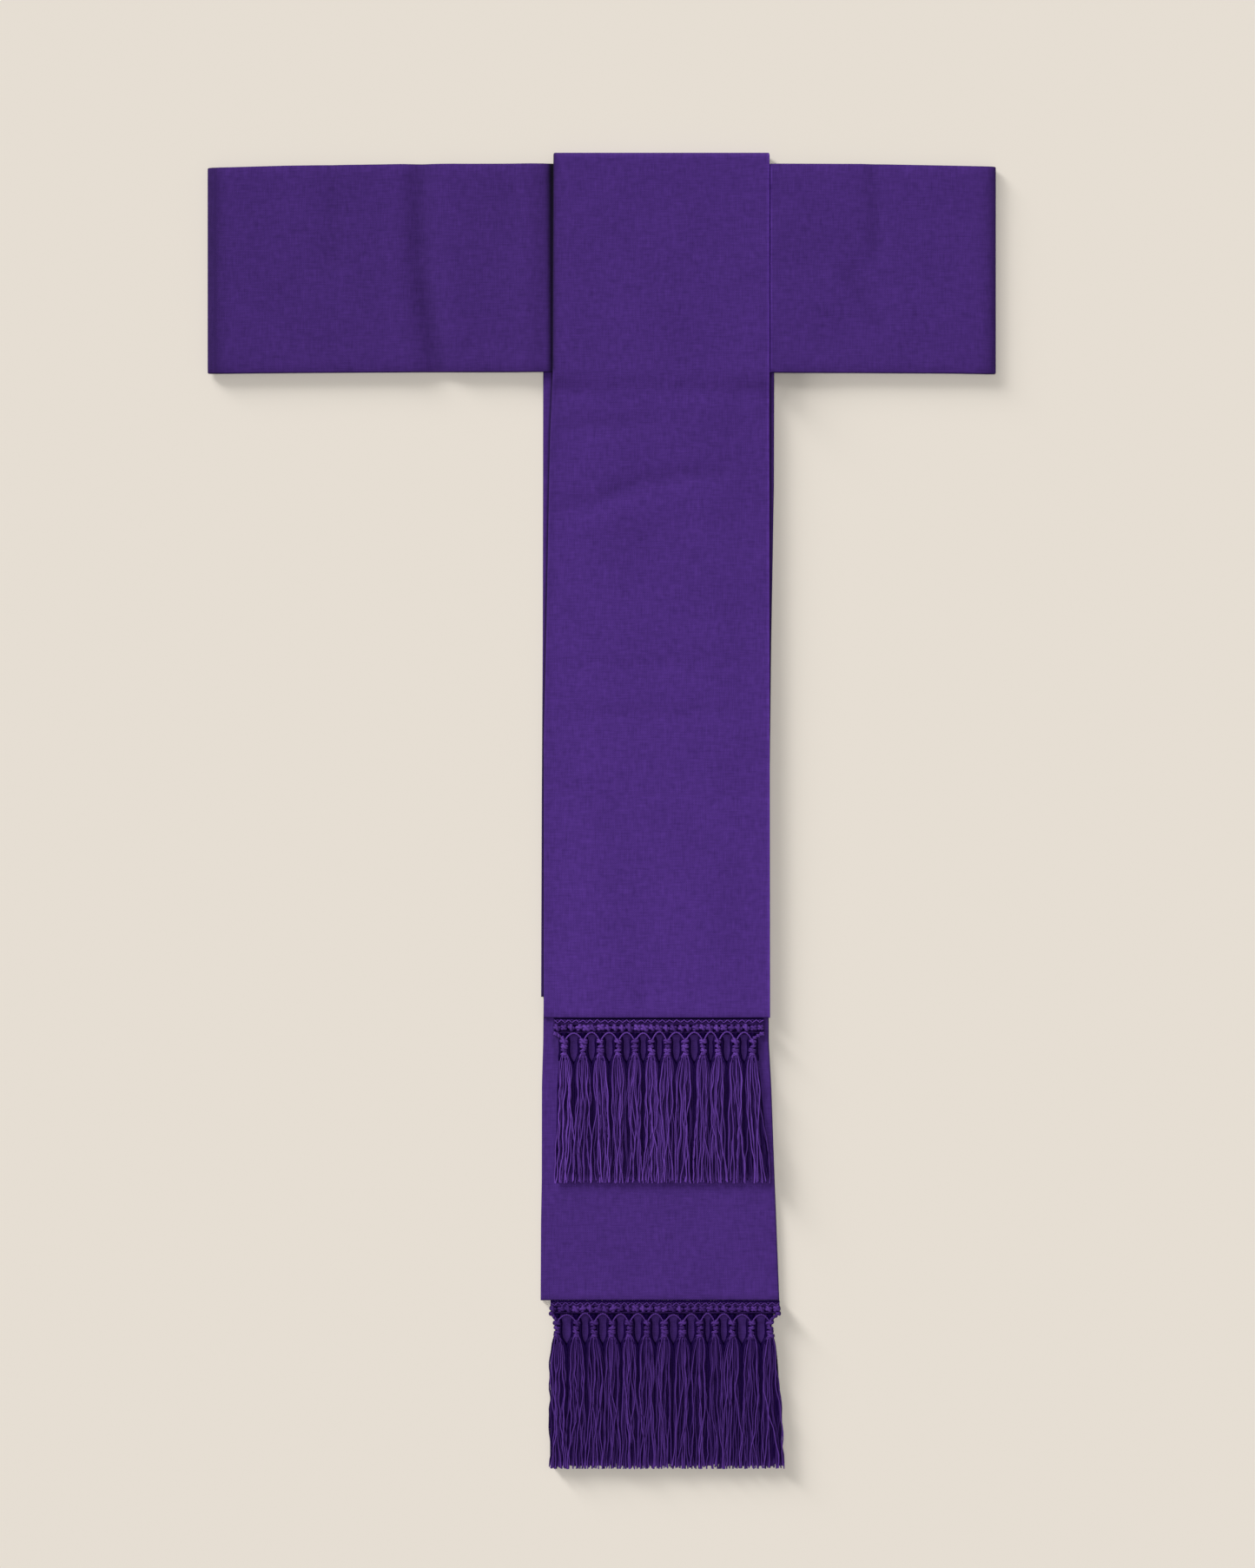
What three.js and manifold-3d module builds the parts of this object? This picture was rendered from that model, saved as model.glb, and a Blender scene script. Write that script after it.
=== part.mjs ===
// Cassock fascia in purple cloth, laid flat with its falls hanging down the page.
// The waistband is one strip closed into a loop and pressed flat. A fall goes over it:
// its front end lies on top, its longer back end beneath. Both ends carry a knotted
// heading with a row of tassels, and the lower one hangs over a narrow cloth tape.
// Millimetres. +X right, +Y towards the top fold, +Z up from the surface it lies on.

import * as THREE from 'three';
import { mergeVertices } from 'three/addons/utils/BufferGeometryUtils.js';
import Module from 'manifold-3d';

const wasm = await Module();
wasm.setup();

// Cloth and clearances
const FALL_CLOTH = 2.0;
const BAND_CLOTH = 1.3;
const SEAM = 0.3;

// Waistband: a strip 500 mm long when pressed flat, about 130 mm deep
const BAND_HALF_LENGTH = 249.7;
const BAND_HEIGHT = 6.3;
const BAND_FOLD_REACH = 6.0;
const BAND_HALF_DEPTH = 66.0;
const BAND_EDGE_ROLL = 0.7;
const BAND_EDGE_ROLL_WIDTH = 5.0;
const BAND_LEVEL_UNDER_FALL = 5.2;
const BAND_LEVEL_RIGHT_OF_FALL = 6.9;
const BAND_EDGES = [
  { x: -249.7, top: 406.7, bottom: 276.7 },
  { x: -200.0, top: 408.1, bottom: 277.2 },
  { x: -118.0, top: 409.2, bottom: 277.7 },
  { x: 0.0, top: 409.5, bottom: 277.8 },
  { x: 163.0, top: 409.2, bottom: 277.2 },
  { x: 221.0, top: 408.1, bottom: 276.9 },
  { x: 249.7, top: 407.5, bottom: 276.4 },
];

// Beside the left edge of the front fall the band swells, then drops into a groove;
// on the right it rises from under the fall
const SHOULDER = { x: -46.0, width: 9.0, rise: 1.2 };
const GROOVE_SIDE = { start: -39.0, end: -32.2 };
const RIGHT_RISE = { start: 106.0, end: 108.4 };
const RIGHT_LEVELLING = { start: 112.0, end: 165.0 };

// The lower layer climbs over the back fall between these places
const CLIMB = { start: -58.0, end: -40.0 };
const DESCENT = { start: 110.0, end: 118.0 };

// Falls: each edge is a short list of places down the length
const FALL_TOP = 416.4;
const FALL_LEVEL_ON_BAND = BAND_LEVEL_UNDER_FALL + SEAM;
const FALL_LEVEL_ON_BACK = FALL_CLOTH + SEAM;
const FALL_PUFF = 0.8;
const FALL_PUFF_MARGIN = 14;
const DROP_START = 277.0;
const DROP_END = 263.5;
const FRONT_FALL_EDGES = [
  { y: 416.4, left: -30.9, right: 105.7 },
  { y: 276.7, left: -31.4, right: 105.7 },
  { y: 238.7, left: -33.1, right: 105.7 },
  { y: 200.2, left: -33.9, right: 105.8 },
  { y: 139.7, left: -35.0, right: 105.8 },
  { y: 46.2, left: -37.2, right: 105.9 },
  { y: -130.9, left: -37.2, right: 106.1 },
];
const BACK_UPPER_EDGES = [
  { y: 412.3, left: -30.9, right: 105.7 },
  { y: 345.0, left: -34.6, right: 107.6 },
  { y: 276.7, left: -37.5, right: 108.8 },
  { y: 205.7, left: -37.6, right: 108.6 },
  { y: 106.7, left: -37.8, right: 106.9 },
  { y: 7.7, left: -38.4, right: 105.8 },
  { y: -117.7, left: -38.8, right: 105.8 },
];
const BACK_LOWER_EDGES = [
  { y: -118.0, left: -37.2, right: 105.3 },
  { y: -146.3, left: -37.5, right: 105.4 },
  { y: -173.8, left: -38.3, right: 106.9 },
  { y: -234.3, left: -38.4, right: 109.1 },
  { y: -261.8, left: -38.9, right: 110.2 },
  { y: -309.9, left: -39.1, right: 112.0 },
];

// Creases: a soft trough along a line, with its half width and its depth
const BAND_TROUGHS = [
  { x0: -121.0, y0: 412, x1: -115.0, y1: 330, width: 9.0, depth: 1.5 },
  { x0: -115.0, y0: 330, x1: -108.0, y1: 274, width: 9.0, depth: 1.5 },
  { x0: -172.0, y0: 404, x1: -170.0, y1: 340, width: 7.0, depth: 0.8 },
  { x0: 173.0, y0: 400, x1: 170.0, y1: 352, width: 6.0, depth: 0.7 },
  { x0: 162.0, y0: 335, x1: 176.0, y1: 306, width: 7.0, depth: 0.7 },
];
const FALL_TROUGHS = [
  { x0: -18.0, y0: 246, x1: 12.0, y1: 244, width: 7.0, depth: 0.5 },
  { x0: -28.0, y0: 197, x1: 30.0, y1: 210, width: 9.0, depth: 0.8 },
  { x0: 30.0, y0: 210, x1: 80.0, y1: 216, width: 9.0, depth: 0.8 },
  { x0: -24.0, y0: 94, x1: 96.0, y1: 98, width: 8.0, depth: 0.5 },
  { x0: -20.0, y0: 61, x1: 100.0, y1: 66, width: 8.0, depth: 0.5 },
  { x0: 26.5, y0: -128, x1: 27.5, y1: -106, width: 5.0, depth: 0.6 },
  { x0: 56.0, y0: -128, x1: 59.0, y1: -112, width: 5.0, depth: 0.5 },
];

// Fringes: a knotted heading, V cords down to stacked neck knots, then loose strands
const HEADING_BAR = 2.0;
const HEADING_KNOT = { across: 1.9, along: 2.5, raised: 1.5, place: 0.4, sunk: 0.1 };
const NECK_LENGTH = 10.0;
const NECK_CAP = 0.4;
const NECK_PROFILE = [
  { down: 0.0, radius: 0.7 },
  { down: 1.6, radius: 1.6 },
  { down: 3.6, radius: 0.9 },
  { down: 6.0, radius: 1.4 },
  { down: 8.4, radius: 0.9 },
  { down: 10.0, radius: 1.3 },
];
const BELL_LENGTH = 6.0;
const BELL_RADIUS = 3.0;
const BELL_WIDEST = 0.7;
const HEAD_SIDES = 6;
const HEAD_FLATNESS = 0.62;
const HEAD_LEVEL = 2.1;
const V_CORD_RADIUS = 0.5;
const V_CORD_SPREAD = 0.34;
const STRANDS = 8;
const ROOT_SPREAD = 0.72;
const STRAND_SIDES = 3;
const STRAND_START = NECK_LENGTH + BELL_LENGTH * 0.4;
const STRAND_PATH = [
  { after: 0, spread: 0, sag: 0, radius: 0.5 },
  { after: 7, spread: 0.4, sag: 0.5, radius: 0.7 },
  { after: 25, spread: 0.92, sag: 1, radius: 1.1 },
];
const STRAND_TIP = { spread: 1, sag: 1, radius: 0.8 };
const STRAND_ROOT_RISE = 0.9;
const STRAND_WAVE = 0.16;
const STRAND_LOW_LEVEL = 0.9;
const STRAND_ROW_RISE = 1.9;
const TASSEL_GAP = 0.5;
const TAPE = { cloth: 1.0, left: -29.5, right: 107.0, top: -310.2, bottom: -338.4 };
const FRONT_FRINGE = {
  name: 'front',
  base: FALL_CLOTH,
  skirtBase: FALL_CLOTH,
  left: -31.1,
  right: 102.5,
  top: -131.2,
  bottom: -141.4,
  neckTop: -144.1,
  tip: -235.4,
  knots: 29,
  skirtLeft: -30.6,
  skirtRight: 107.4,
  necks: [-24.0, -12.2, -1.3, 9.9, 20.7, 31.0, 41.1, 52.4, 63.8, 73.3, 84.3, 95.0],
};
const BACK_FRINGE = {
  name: 'back',
  base: TAPE.cloth,
  skirtBase: 0,
  left: -33.3,
  right: 112.6,
  top: -310.2,
  bottom: -318.4,
  neckTop: -322.3,
  tip: -416.4,
  knots: 31,
  skirtLeft: -32.9,
  skirtRight: 114.3,
  necks: [-27.7, -16.4, -5.4, 6.0, 17.0, 28.0, 39.2, 50.7, 61.7, 71.4, 82.3, 94.4, 106.2],
};
const TIP_UNEVENNESS = 2.0;

// Finishes
const CLOTH_COLOUR = 0x462d72;
const FRINGE_COLOUR = 0x3a2166;
const clothFinish = () => new THREE.MeshStandardMaterial({
  color: CLOTH_COLOUR, roughness: 0.9, metalness: 0,
});
const fringeFinish = () => new THREE.MeshStandardMaterial({
  color: FRINGE_COLOUR, roughness: 0.55, metalness: 0,
});

// Smooth step from 0 at the low end to 1 at the high end
function ramp(value, low, high) {
  return THREE.MathUtils.smoothstep(value, low, high);
}

// Straight share from 0 at a span's start to 1 at its end
function shareOf(value, { start, end }) {
  return THREE.MathUtils.clamp((value - start) / (end - start), 0, 1);
}

// Value of one column of a table at a place between its rows, the rows in either order
function tableValue(table, key, column, at) {
  const rows = [...table].sort((a, b) => a[key] - b[key]);
  if (at <= rows[0][key]) {
    return rows[0][column];
  }
  for (let i = 1; i < rows.length; i += 1) {
    if (at <= rows[i][key]) {
      const share = (at - rows[i - 1][key]) / (rows[i][key] - rows[i - 1][key]);
      return THREE.MathUtils.lerp(rows[i - 1][column], rows[i][column], share);
    }
  }
  return rows[rows.length - 1][column];
}

// Depth of all the soft troughs at a point of the cloth
function troughDepth(troughs, x, y) {
  let depth = 0;
  for (const crease of troughs) {
    const start = new THREE.Vector2(crease.x0, crease.y0);
    const along = new THREE.Vector2(crease.x1, crease.y1).sub(start);
    const offset = new THREE.Vector2(x, y).sub(start);
    const share = THREE.MathUtils.clamp(offset.dot(along) / along.lengthSq(), 0, 1);
    const away = offset.sub(along.multiplyScalar(share)).length() / crease.width;
    depth = Math.max(depth, crease.depth * Math.exp(-away * away));
  }
  return depth;
}

// Same sequence of shares between 0 and 1 each time, for the uneven strands
function seededShares(seed) {
  let state = seed;
  return () => {
    state = (state * 1664525 + 1013904223) % 4294967296;
    return state / 4294967296;
  };
}

// Geometry from points and triangles, turned to face outwards
function closedGeometry(points, triangles) {
  let volume = 0;
  for (const [a, b, c] of triangles) {
    volume += points[a].dot(new THREE.Vector3().crossVectors(points[b], points[c]));
  }
  const faces = volume < 0 ? triangles.map(([a, b, c]) => [a, c, b]) : triangles;
  const geometry = new THREE.BufferGeometry().setFromPoints(points);
  geometry.setIndex(faces.flat());
  geometry.computeVertexNormals();
  return geometry;
}

// Cloth wall: an upper and a lower grid of points, closed round the four edges
function clothWall(columns, rows, upper, lower) {
  const points = [];
  const triangles = [];
  for (const surface of [upper, lower]) {
    for (let row = 0; row < rows; row += 1) {
      for (let column = 0; column < columns; column += 1) {
        points.push(surface(column, row));
      }
    }
  }
  const above = (column, row) => row * columns + column;
  const below = (column, row) => rows * columns + above(column, row);
  const patch = (a, b, c, d) => triangles.push([a, b, c], [a, c, d]);
  for (let row = 1; row < rows; row += 1) {
    for (let column = 1; column < columns; column += 1) {
      patch(above(column - 1, row - 1), above(column, row - 1),
        above(column, row), above(column - 1, row));
      patch(below(column - 1, row), below(column, row),
        below(column, row - 1), below(column - 1, row - 1));
    }
  }
  const rim = [];
  for (let column = 0; column < columns - 1; column += 1) {
    rim.push([column, 0]);
  }
  for (let row = 0; row < rows - 1; row += 1) {
    rim.push([columns - 1, row]);
  }
  for (let column = columns - 1; column > 0; column -= 1) {
    rim.push([column, rows - 1]);
  }
  for (let row = rows - 1; row > 0; row -= 1) {
    rim.push([0, row]);
  }
  rim.forEach((here, i) => {
    const next = rim[(i + 1) % rim.length];
    patch(above(...here), below(...here), below(...next), above(...next));
  });
  return closedGeometry(points, triangles);
}

// Tube with flat ends along a list of points, a radius for each; turn aims its first corner
function taperedTube(path, radii, sides, turn) {
  const points = [];
  const triangles = [];
  path.forEach((centre, ring) => {
    const before = path[Math.max(ring - 1, 0)];
    const after = path[Math.min(ring + 1, path.length - 1)];
    const ahead = after.clone().sub(before).normalize();
    const sideways = new THREE.Vector3(0, 0, 1).cross(ahead).normalize();
    const upwards = ahead.clone().cross(sideways);
    for (let side = 0; side < sides; side += 1) {
      const angle = turn + (side * 2 * Math.PI) / sides;
      points.push(centre.clone()
        .addScaledVector(sideways, radii[ring] * Math.cos(angle))
        .addScaledVector(upwards, radii[ring] * Math.sin(angle)));
    }
  });
  for (let ring = 1; ring < path.length; ring += 1) {
    for (let side = 0; side < sides; side += 1) {
      const next = (side + 1) % sides;
      const [a, b] = [(ring - 1) * sides + side, (ring - 1) * sides + next];
      const [c, d] = [ring * sides + next, ring * sides + side];
      triangles.push([a, b, c], [a, c, d]);
    }
  }
  const last = (path.length - 1) * sides;
  for (let side = 2; side < sides; side += 1) {
    triangles.push([0, side, side - 1], [last, last + side - 1, last + side]);
  }
  return closedGeometry(points, triangles);
}

// Solid for joining, from a closed geometry
function solidOf(geometry) {
  const bare = geometry.clone();
  bare.deleteAttribute('normal');
  bare.deleteAttribute('uv');
  const merged = mergeVertices(bare, 1e-4);
  return new wasm.Manifold(new wasm.Mesh({
    numProp: 3,
    vertProperties: new Float32Array(merged.attributes.position.array),
    triVerts: new Uint32Array(merged.index.array),
  }));
}

// One geometry from several that run into each other
function joined(geometries) {
  const whole = geometries.map(solidOf).reduce((all, one) => all.add(one));
  const mesh = whole.getMesh();
  const geometry = new THREE.BufferGeometry();
  geometry.setAttribute('position', new THREE.BufferAttribute(mesh.vertProperties, 3));
  geometry.setIndex(new THREE.BufferAttribute(mesh.triVerts, 1));
  geometry.computeVertexNormals();
  return geometry;
}

// Stations along the waistband: the rounded fold at each end, then places on the flat
const FOLD_ANGLES = [4, 30, 60, 90];
function bandStations() {
  const inner = BAND_HALF_LENGTH - BAND_FOLD_REACH;
  const flat = [-215, -185, -178, -171, -164, -155, -138, -128, -121, -114, -107, -98, -84,
    -64, -55, -48, -43, -39, -36.8, -35, -33.5, -32.2, -28, 20, 60, 98, 106, 107.2, 108.4,
    112, 120, 140, 156, 163, 170, 177, 186, 215];
  const left = FOLD_ANGLES.map((angle) => ({ x: -inner, side: -1, angle }));
  const right = FOLD_ANGLES.map((angle) => ({ x: inner, side: 1, angle })).reverse();
  const middle = flat.map((x) => ({ x, side: 0, angle: 90 }));
  return [...left, ...middle, ...right];
}

// Place across the depth of the band, 0 at the lower edge and 1 at the upper
const BAND_SHARES = [0, 0.03, 0.15, 0.38, 0.62, 0.85, 0.97, 1];
function bandY(x, share) {
  const bottom = tableValue(BAND_EDGES, 'x', 'bottom', x);
  const top = tableValue(BAND_EDGES, 'x', 'top', x);
  return THREE.MathUtils.lerp(bottom, top, share);
}

// Height of the upper face of the band's front layer
function bandTop(x, y, share) {
  const inside = (1 - Math.abs(share * 2 - 1)) * BAND_HALF_DEPTH;
  const roll = BAND_EDGE_ROLL * (1 - ramp(inside, 0, BAND_EDGE_ROLL_WIDTH));
  const risen = shareOf(x, RIGHT_RISE);
  const underFall = shareOf(x, GROOVE_SIDE) ** 2 * (1 - risen);
  const beyond = risen * (1 - ramp(x, RIGHT_LEVELLING.start, RIGHT_LEVELLING.end));
  const swell = SHOULDER.rise * Math.exp(-(((x - SHOULDER.x) / SHOULDER.width) ** 2));
  let free = THREE.MathUtils.lerp(BAND_HEIGHT, BAND_LEVEL_RIGHT_OF_FALL, beyond);
  free += swell - roll - troughDepth(BAND_TROUGHS, x, y);
  return THREE.MathUtils.lerp(free, BAND_LEVEL_UNDER_FALL, underFall);
}

// Front layer of the waistband, with the upper half of each folded end
function waistbandFront() {
  const stations = bandStations();
  const middle = BAND_HEIGHT / 2;
  const place = (inset) => (column, row) => {
    const { x, side, angle } = stations[column];
    const share = BAND_SHARES[row];
    const turn = THREE.MathUtils.degToRad(angle);
    const out = side * Math.cos(turn) * (BAND_FOLD_REACH - inset);
    const y = bandY(x + out, share);
    const flat = bandTop(x, y, share) - inset;
    const z = angle < 90 ? middle + (flat - middle) * Math.sin(turn) + SEAM / 4 : flat;
    return new THREE.Vector3(x + out, y, z);
  };
  return clothWall(stations.length, BAND_SHARES.length, place(0), place(BAND_CLOTH));
}

// Back layer: flat on the surface at the wings, raised where it passes over the back fall
function waistbandBack() {
  const rise = FALL_CLOTH + SEAM;
  const inner = BAND_HALF_LENGTH - BAND_FOLD_REACH;
  const flat = [-150, -58, -52, -46, -40, 30, 110, 114, 118, 180];
  const stations = [
    ...FOLD_ANGLES.map((angle) => ({ x: -inner, side: -1, angle })),
    ...flat.map((x) => ({ x, side: 0, angle: 90 })),
    ...FOLD_ANGLES.map((angle) => ({ x: inner, side: 1, angle })).reverse(),
  ];
  const middle = BAND_HEIGHT / 2;
  const place = (inset) => (column, row) => {
    const { x, side, angle } = stations[column];
    const turn = THREE.MathUtils.degToRad(angle);
    const out = side * Math.cos(turn) * (BAND_FOLD_REACH - inset);
    const climbed = ramp(x, CLIMB.start, CLIMB.end);
    const raised = rise * climbed * (1 - ramp(x, DESCENT.start, DESCENT.end));
    const flatLevel = raised + inset;
    const z = angle < 90 ? middle - (middle - flatLevel) * Math.sin(turn) - SEAM / 4 : flatLevel;
    return new THREE.Vector3(x + out, bandY(x + out, row), z);
  };
  return clothWall(stations.length, 2, place(BAND_CLOTH), place(0));
}

// Path of the front fall seen from the side: the seam at the back, the fold over the
// top of the band, the level stretch on it, the drop off its lower edge, then the hem
function frontFallPath() {
  const outer = (FALL_LEVEL_ON_BAND + FALL_CLOTH) / 2;
  const centre = outer - FALL_CLOTH / 2;
  const path = [];
  for (const angle of [-90, -45, 0, 45, 90]) {
    const turn = THREE.MathUtils.degToRad(angle);
    path.push({
      y: FALL_TOP - outer + centre * Math.cos(turn),
      z: outer + centre * Math.sin(turn),
      normal: [Math.cos(turn), Math.sin(turn)],
      loose: 0,
    });
  }
  const places = [400, 340, 284, 277, 273, 269, 265, 261, 253, 245, 236, 224, 215, 206, 197,
    186, 160, 125, 105, 97, 88, 73, 63, 53, 15, -45, -100, -112, -122, -130.9];
  for (const y of places) {
    const dropped = 1 - ramp(y, DROP_END, DROP_START);
    const level = THREE.MathUtils.lerp(FALL_LEVEL_ON_BAND, FALL_LEVEL_ON_BACK, dropped);
    path.push({ y, z: level + FALL_CLOTH / 2, normal: [0, 1], loose: dropped });
  }
  return path;
}

// Front fall: flat at its edges and slightly raised between them, with soft troughs
const FALL_SHARES = [0, 0.06, 0.14, 0.28, 0.45, 0.55, 0.66, 0.86, 0.94, 1];
function frontFall() {
  const path = frontFallPath();
  const place = (offset) => (column, row) => {
    const { y, z, normal, loose } = path[row];
    const left = tableValue(FRONT_FALL_EDGES, 'y', 'left', y);
    const right = tableValue(FRONT_FALL_EDGES, 'y', 'right', y);
    const x = THREE.MathUtils.lerp(left, right, FALL_SHARES[column]);
    const inside = Math.min(x - left, right - x);
    const puff = FALL_PUFF * ramp(inside, 0, FALL_PUFF_MARGIN) * loose;
    const lift = Math.max(0, puff - troughDepth(FALL_TROUGHS, x, y));
    return new THREE.Vector3(x, y + offset * normal[0], z + offset * normal[1] + lift);
  };
  return clothWall(FALL_SHARES.length, path.length, place(FALL_CLOTH / 2), place(-FALL_CLOTH / 2));
}

// Back fall, flat on the surface, in the two lengths that it is pieced from
function backFall(edges) {
  const places = edges.map((row) => row.y);
  const place = (level) => (column, row) => {
    const side = column === 0 ? 'left' : 'right';
    return new THREE.Vector3(edges[row][side], places[row], level);
  };
  return clothWall(2, places.length, place(FALL_CLOTH), place(0));
}

// Knotted heading: a narrow strip with a row of raised knots
function heading({ base, left, right, top, bottom, knots }) {
  const bar = new THREE.BoxGeometry(right - left, top - bottom, HEADING_BAR);
  bar.translate((left + right) / 2, (top + bottom) / 2, base + SEAM + HEADING_BAR / 2);
  const pieces = [bar];
  const pitch = (right - left) / knots;
  for (let i = 0; i < knots; i += 1) {
    const knot = new THREE.SphereGeometry(1, 4, 3);
    knot.scale(HEADING_KNOT.across, HEADING_KNOT.along, HEADING_KNOT.raised);
    const y = THREE.MathUtils.lerp(bottom, top, HEADING_KNOT.place);
    const level = base + SEAM + HEADING_BAR - HEADING_KNOT.sunk;
    knot.translate(left + pitch * (i + 0.5), y, level);
    pieces.push(knot);
  }
  return joined(pieces);
}

// Narrow cloth tape flat on the surface, behind the heading and necks of the back fringe
function fringeTape() {
  const { cloth, left, right, top, bottom } = TAPE;
  const tape = new THREE.BoxGeometry(right - left, top - bottom, cloth);
  tape.translate((left + right) / 2, (top + bottom) / 2, cloth / 2);
  return tape;
}

// Head of a tassel: stacked neck knots opening into a flattened bell
function tasselHead() {
  const profile = NECK_PROFILE.map(({ down, radius }) => new THREE.Vector2(radius, -down));
  profile.unshift(new THREE.Vector2(0, NECK_CAP));
  profile.push(new THREE.Vector2(BELL_RADIUS, -NECK_LENGTH - BELL_LENGTH * BELL_WIDEST));
  profile.push(new THREE.Vector2(0, -NECK_LENGTH - BELL_LENGTH));
  const head = new THREE.LatheGeometry(profile.reverse(), HEAD_SIDES, Math.PI / HEAD_SIDES);
  head.scale(1, 1, HEAD_FLATNESS);
  return head;
}

// Loose strand of a tassel, from inside the bell to its tip; odd ones lie on even ones
function strand(index, skirtLeft, skirtRight, length, drop, shares) {
  const upper = index % 2;
  const share = (index + 0.5) / STRANDS;
  const across = THREE.MathUtils.lerp(skirtLeft, skirtRight, share);
  const level = STRAND_LOW_LEVEL + upper * STRAND_ROW_RISE - HEAD_LEVEL - drop;
  const rootLevel = (upper - 0.5) * STRAND_ROOT_RISE;
  const rootAcross = (share * 2 - 1) * BELL_RADIUS * ROOT_SPREAD;
  const end = length - TIP_UNEVENNESS * shares();
  const sway = (shares() - 0.5) * 2 * STRAND_WAVE;
  const stations = [...STRAND_PATH, { ...STRAND_TIP, after: end - STRAND_START }];
  const path = stations.map(({ after, spread, sag }, i) => new THREE.Vector3(
    THREE.MathUtils.lerp(rootAcross, across, spread) + sway * (i === 2 ? -1 : 1) * sag,
    -STRAND_START - after,
    THREE.MathUtils.lerp(rootLevel, level, sag),
  ));
  const turn = upper ? -Math.PI / 2 : Math.PI / 2;
  return taperedTube(path, stations.map((row) => row.radius), STRAND_SIDES, turn);
}

// V cord from the heading down to the top of the neck
function vCord(side, pitch, height) {
  const start = new THREE.Vector3(side * V_CORD_SPREAD * pitch, height, 0);
  const end = new THREE.Vector3(0, -1, 0);
  return taperedTube([start, end], [V_CORD_RADIUS, V_CORD_RADIUS], STRAND_SIDES, Math.PI / 2);
}

// Tassel about its own neck: head, two V cords and its strands in one piece
function tassel(fringe, index) {
  const { necks, skirtLeft, skirtRight, neckTop, bottom, tip, base, skirtBase } = fringe;
  const neck = necks[index];
  const first = index === 0;
  const last = index === necks.length - 1;
  const leftBound = first ? skirtLeft : (necks[index - 1] + neck) / 2 + TASSEL_GAP / 2;
  const rightBound = last ? skirtRight : (necks[index + 1] + neck) / 2 - TASSEL_GAP / 2;
  const pitch = rightBound - leftBound;
  const cordHeight = bottom - neckTop - SEAM - V_CORD_RADIUS;
  const shares = seededShares(101 * (index + 1) + necks.length);
  const pieces = [tasselHead(), vCord(-1, pitch, cordHeight), vCord(1, pitch, cordHeight)];
  const length = neckTop - tip;
  for (let i = 0; i < STRANDS; i += 1) {
    pieces.push(strand(i, leftBound - neck, rightBound - neck, length, base - skirtBase, shares));
  }
  return joined(pieces);
}

const fascia = new THREE.Group();

function addPiece(name, geometry, finish) {
  const mesh = new THREE.Mesh(geometry, finish());
  mesh.name = name;
  fascia.add(mesh);
  return mesh;
}

// The fascia, piece by piece
addPiece('waistband_front', waistbandFront(), clothFinish);
addPiece('waistband_back', waistbandBack(), clothFinish);
addPiece('front_fall', frontFall(), clothFinish);
addPiece('back_fall_upper', backFall(BACK_UPPER_EDGES), clothFinish);
addPiece('back_fall_lower', backFall(BACK_LOWER_EDGES), clothFinish);
addPiece('back_fringe_tape', fringeTape(), clothFinish);
for (const fringe of [FRONT_FRINGE, BACK_FRINGE]) {
  addPiece(`${fringe.name}_fringe_heading`, heading(fringe), fringeFinish);
  fringe.necks.forEach((x, index) => {
    const name = `${fringe.name}_tassel_${String(index + 1).padStart(2, '0')}`;
    const piece = addPiece(name, tassel(fringe, index), fringeFinish);
    piece.position.set(x, fringe.neckTop, fringe.base + HEAD_LEVEL);
  });
}

// The origin is under the middle of the whole, on the surface it lies on
const extent = new THREE.Box3().setFromObject(fascia);
const middle = extent.getCenter(new THREE.Vector3());
fascia.position.set(-middle.x, -middle.y, -extent.min.z);

export default fascia;
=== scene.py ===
import math
import random

import bpy
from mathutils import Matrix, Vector


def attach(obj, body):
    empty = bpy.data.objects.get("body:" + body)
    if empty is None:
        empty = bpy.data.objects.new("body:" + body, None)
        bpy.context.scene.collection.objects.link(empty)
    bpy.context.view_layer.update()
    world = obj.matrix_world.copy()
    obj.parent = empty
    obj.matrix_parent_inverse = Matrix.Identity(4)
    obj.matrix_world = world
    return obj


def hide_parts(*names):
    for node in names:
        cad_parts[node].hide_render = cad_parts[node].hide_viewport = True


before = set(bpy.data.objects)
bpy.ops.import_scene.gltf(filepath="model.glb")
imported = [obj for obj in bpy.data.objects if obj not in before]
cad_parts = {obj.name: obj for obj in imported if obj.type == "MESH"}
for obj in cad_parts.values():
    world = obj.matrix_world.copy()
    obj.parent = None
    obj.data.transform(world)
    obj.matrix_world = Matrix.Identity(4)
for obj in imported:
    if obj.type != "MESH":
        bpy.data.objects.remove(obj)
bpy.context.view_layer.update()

MM = 0.001

# Cloth
FALL_CLOTH = 2.0
BAND_CLOTH = 1.3
TAPE_CLOTH = 1.0
SEAM = 0.3
CLOTH_STEP = 3.5
BORDER_STEP = 0.7
FALL_BORDER = 9.0
SLOPE_STEP = 0.2
RIM_ANGLES = (0, 30, 60, 90)

# Waistband loop, pressed flat
BAND_HALF_LENGTH = 249.3
BAND_MIDDLE = -0.4
BAND_HEIGHT = 6.3
BAND_FOLD_REACH = 6.0
BAND_FOLD_PRESSED = 0.86
BAND_FOLD_STEP = 1.5
BAND_EDGE_ROLL = 0.8
BAND_EDGE_ROLL_WIDTH = 5.0
BAND_LEVEL_UNDER_FALL = 5.2
BAND_LEVEL_RIGHT_OF_FALL = 6.9
SHOULDER = {"x": -46.0, "width": 9.0, "rise": 1.2}
GROOVE = {
    "top_x": -32.3, "bottom_x": -32.0, "top_side": 6.4, "bottom_side": 4.4, "level": 4.9,
    "steepness": 2.6, "level_until": 4.0, "risen_by": 10.0,
}
RIGHT_RISE = {"start": 105.9, "end": 106.8}
RIGHT_LEVELLING = {"start": 112.0, "end": 165.0}
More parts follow.
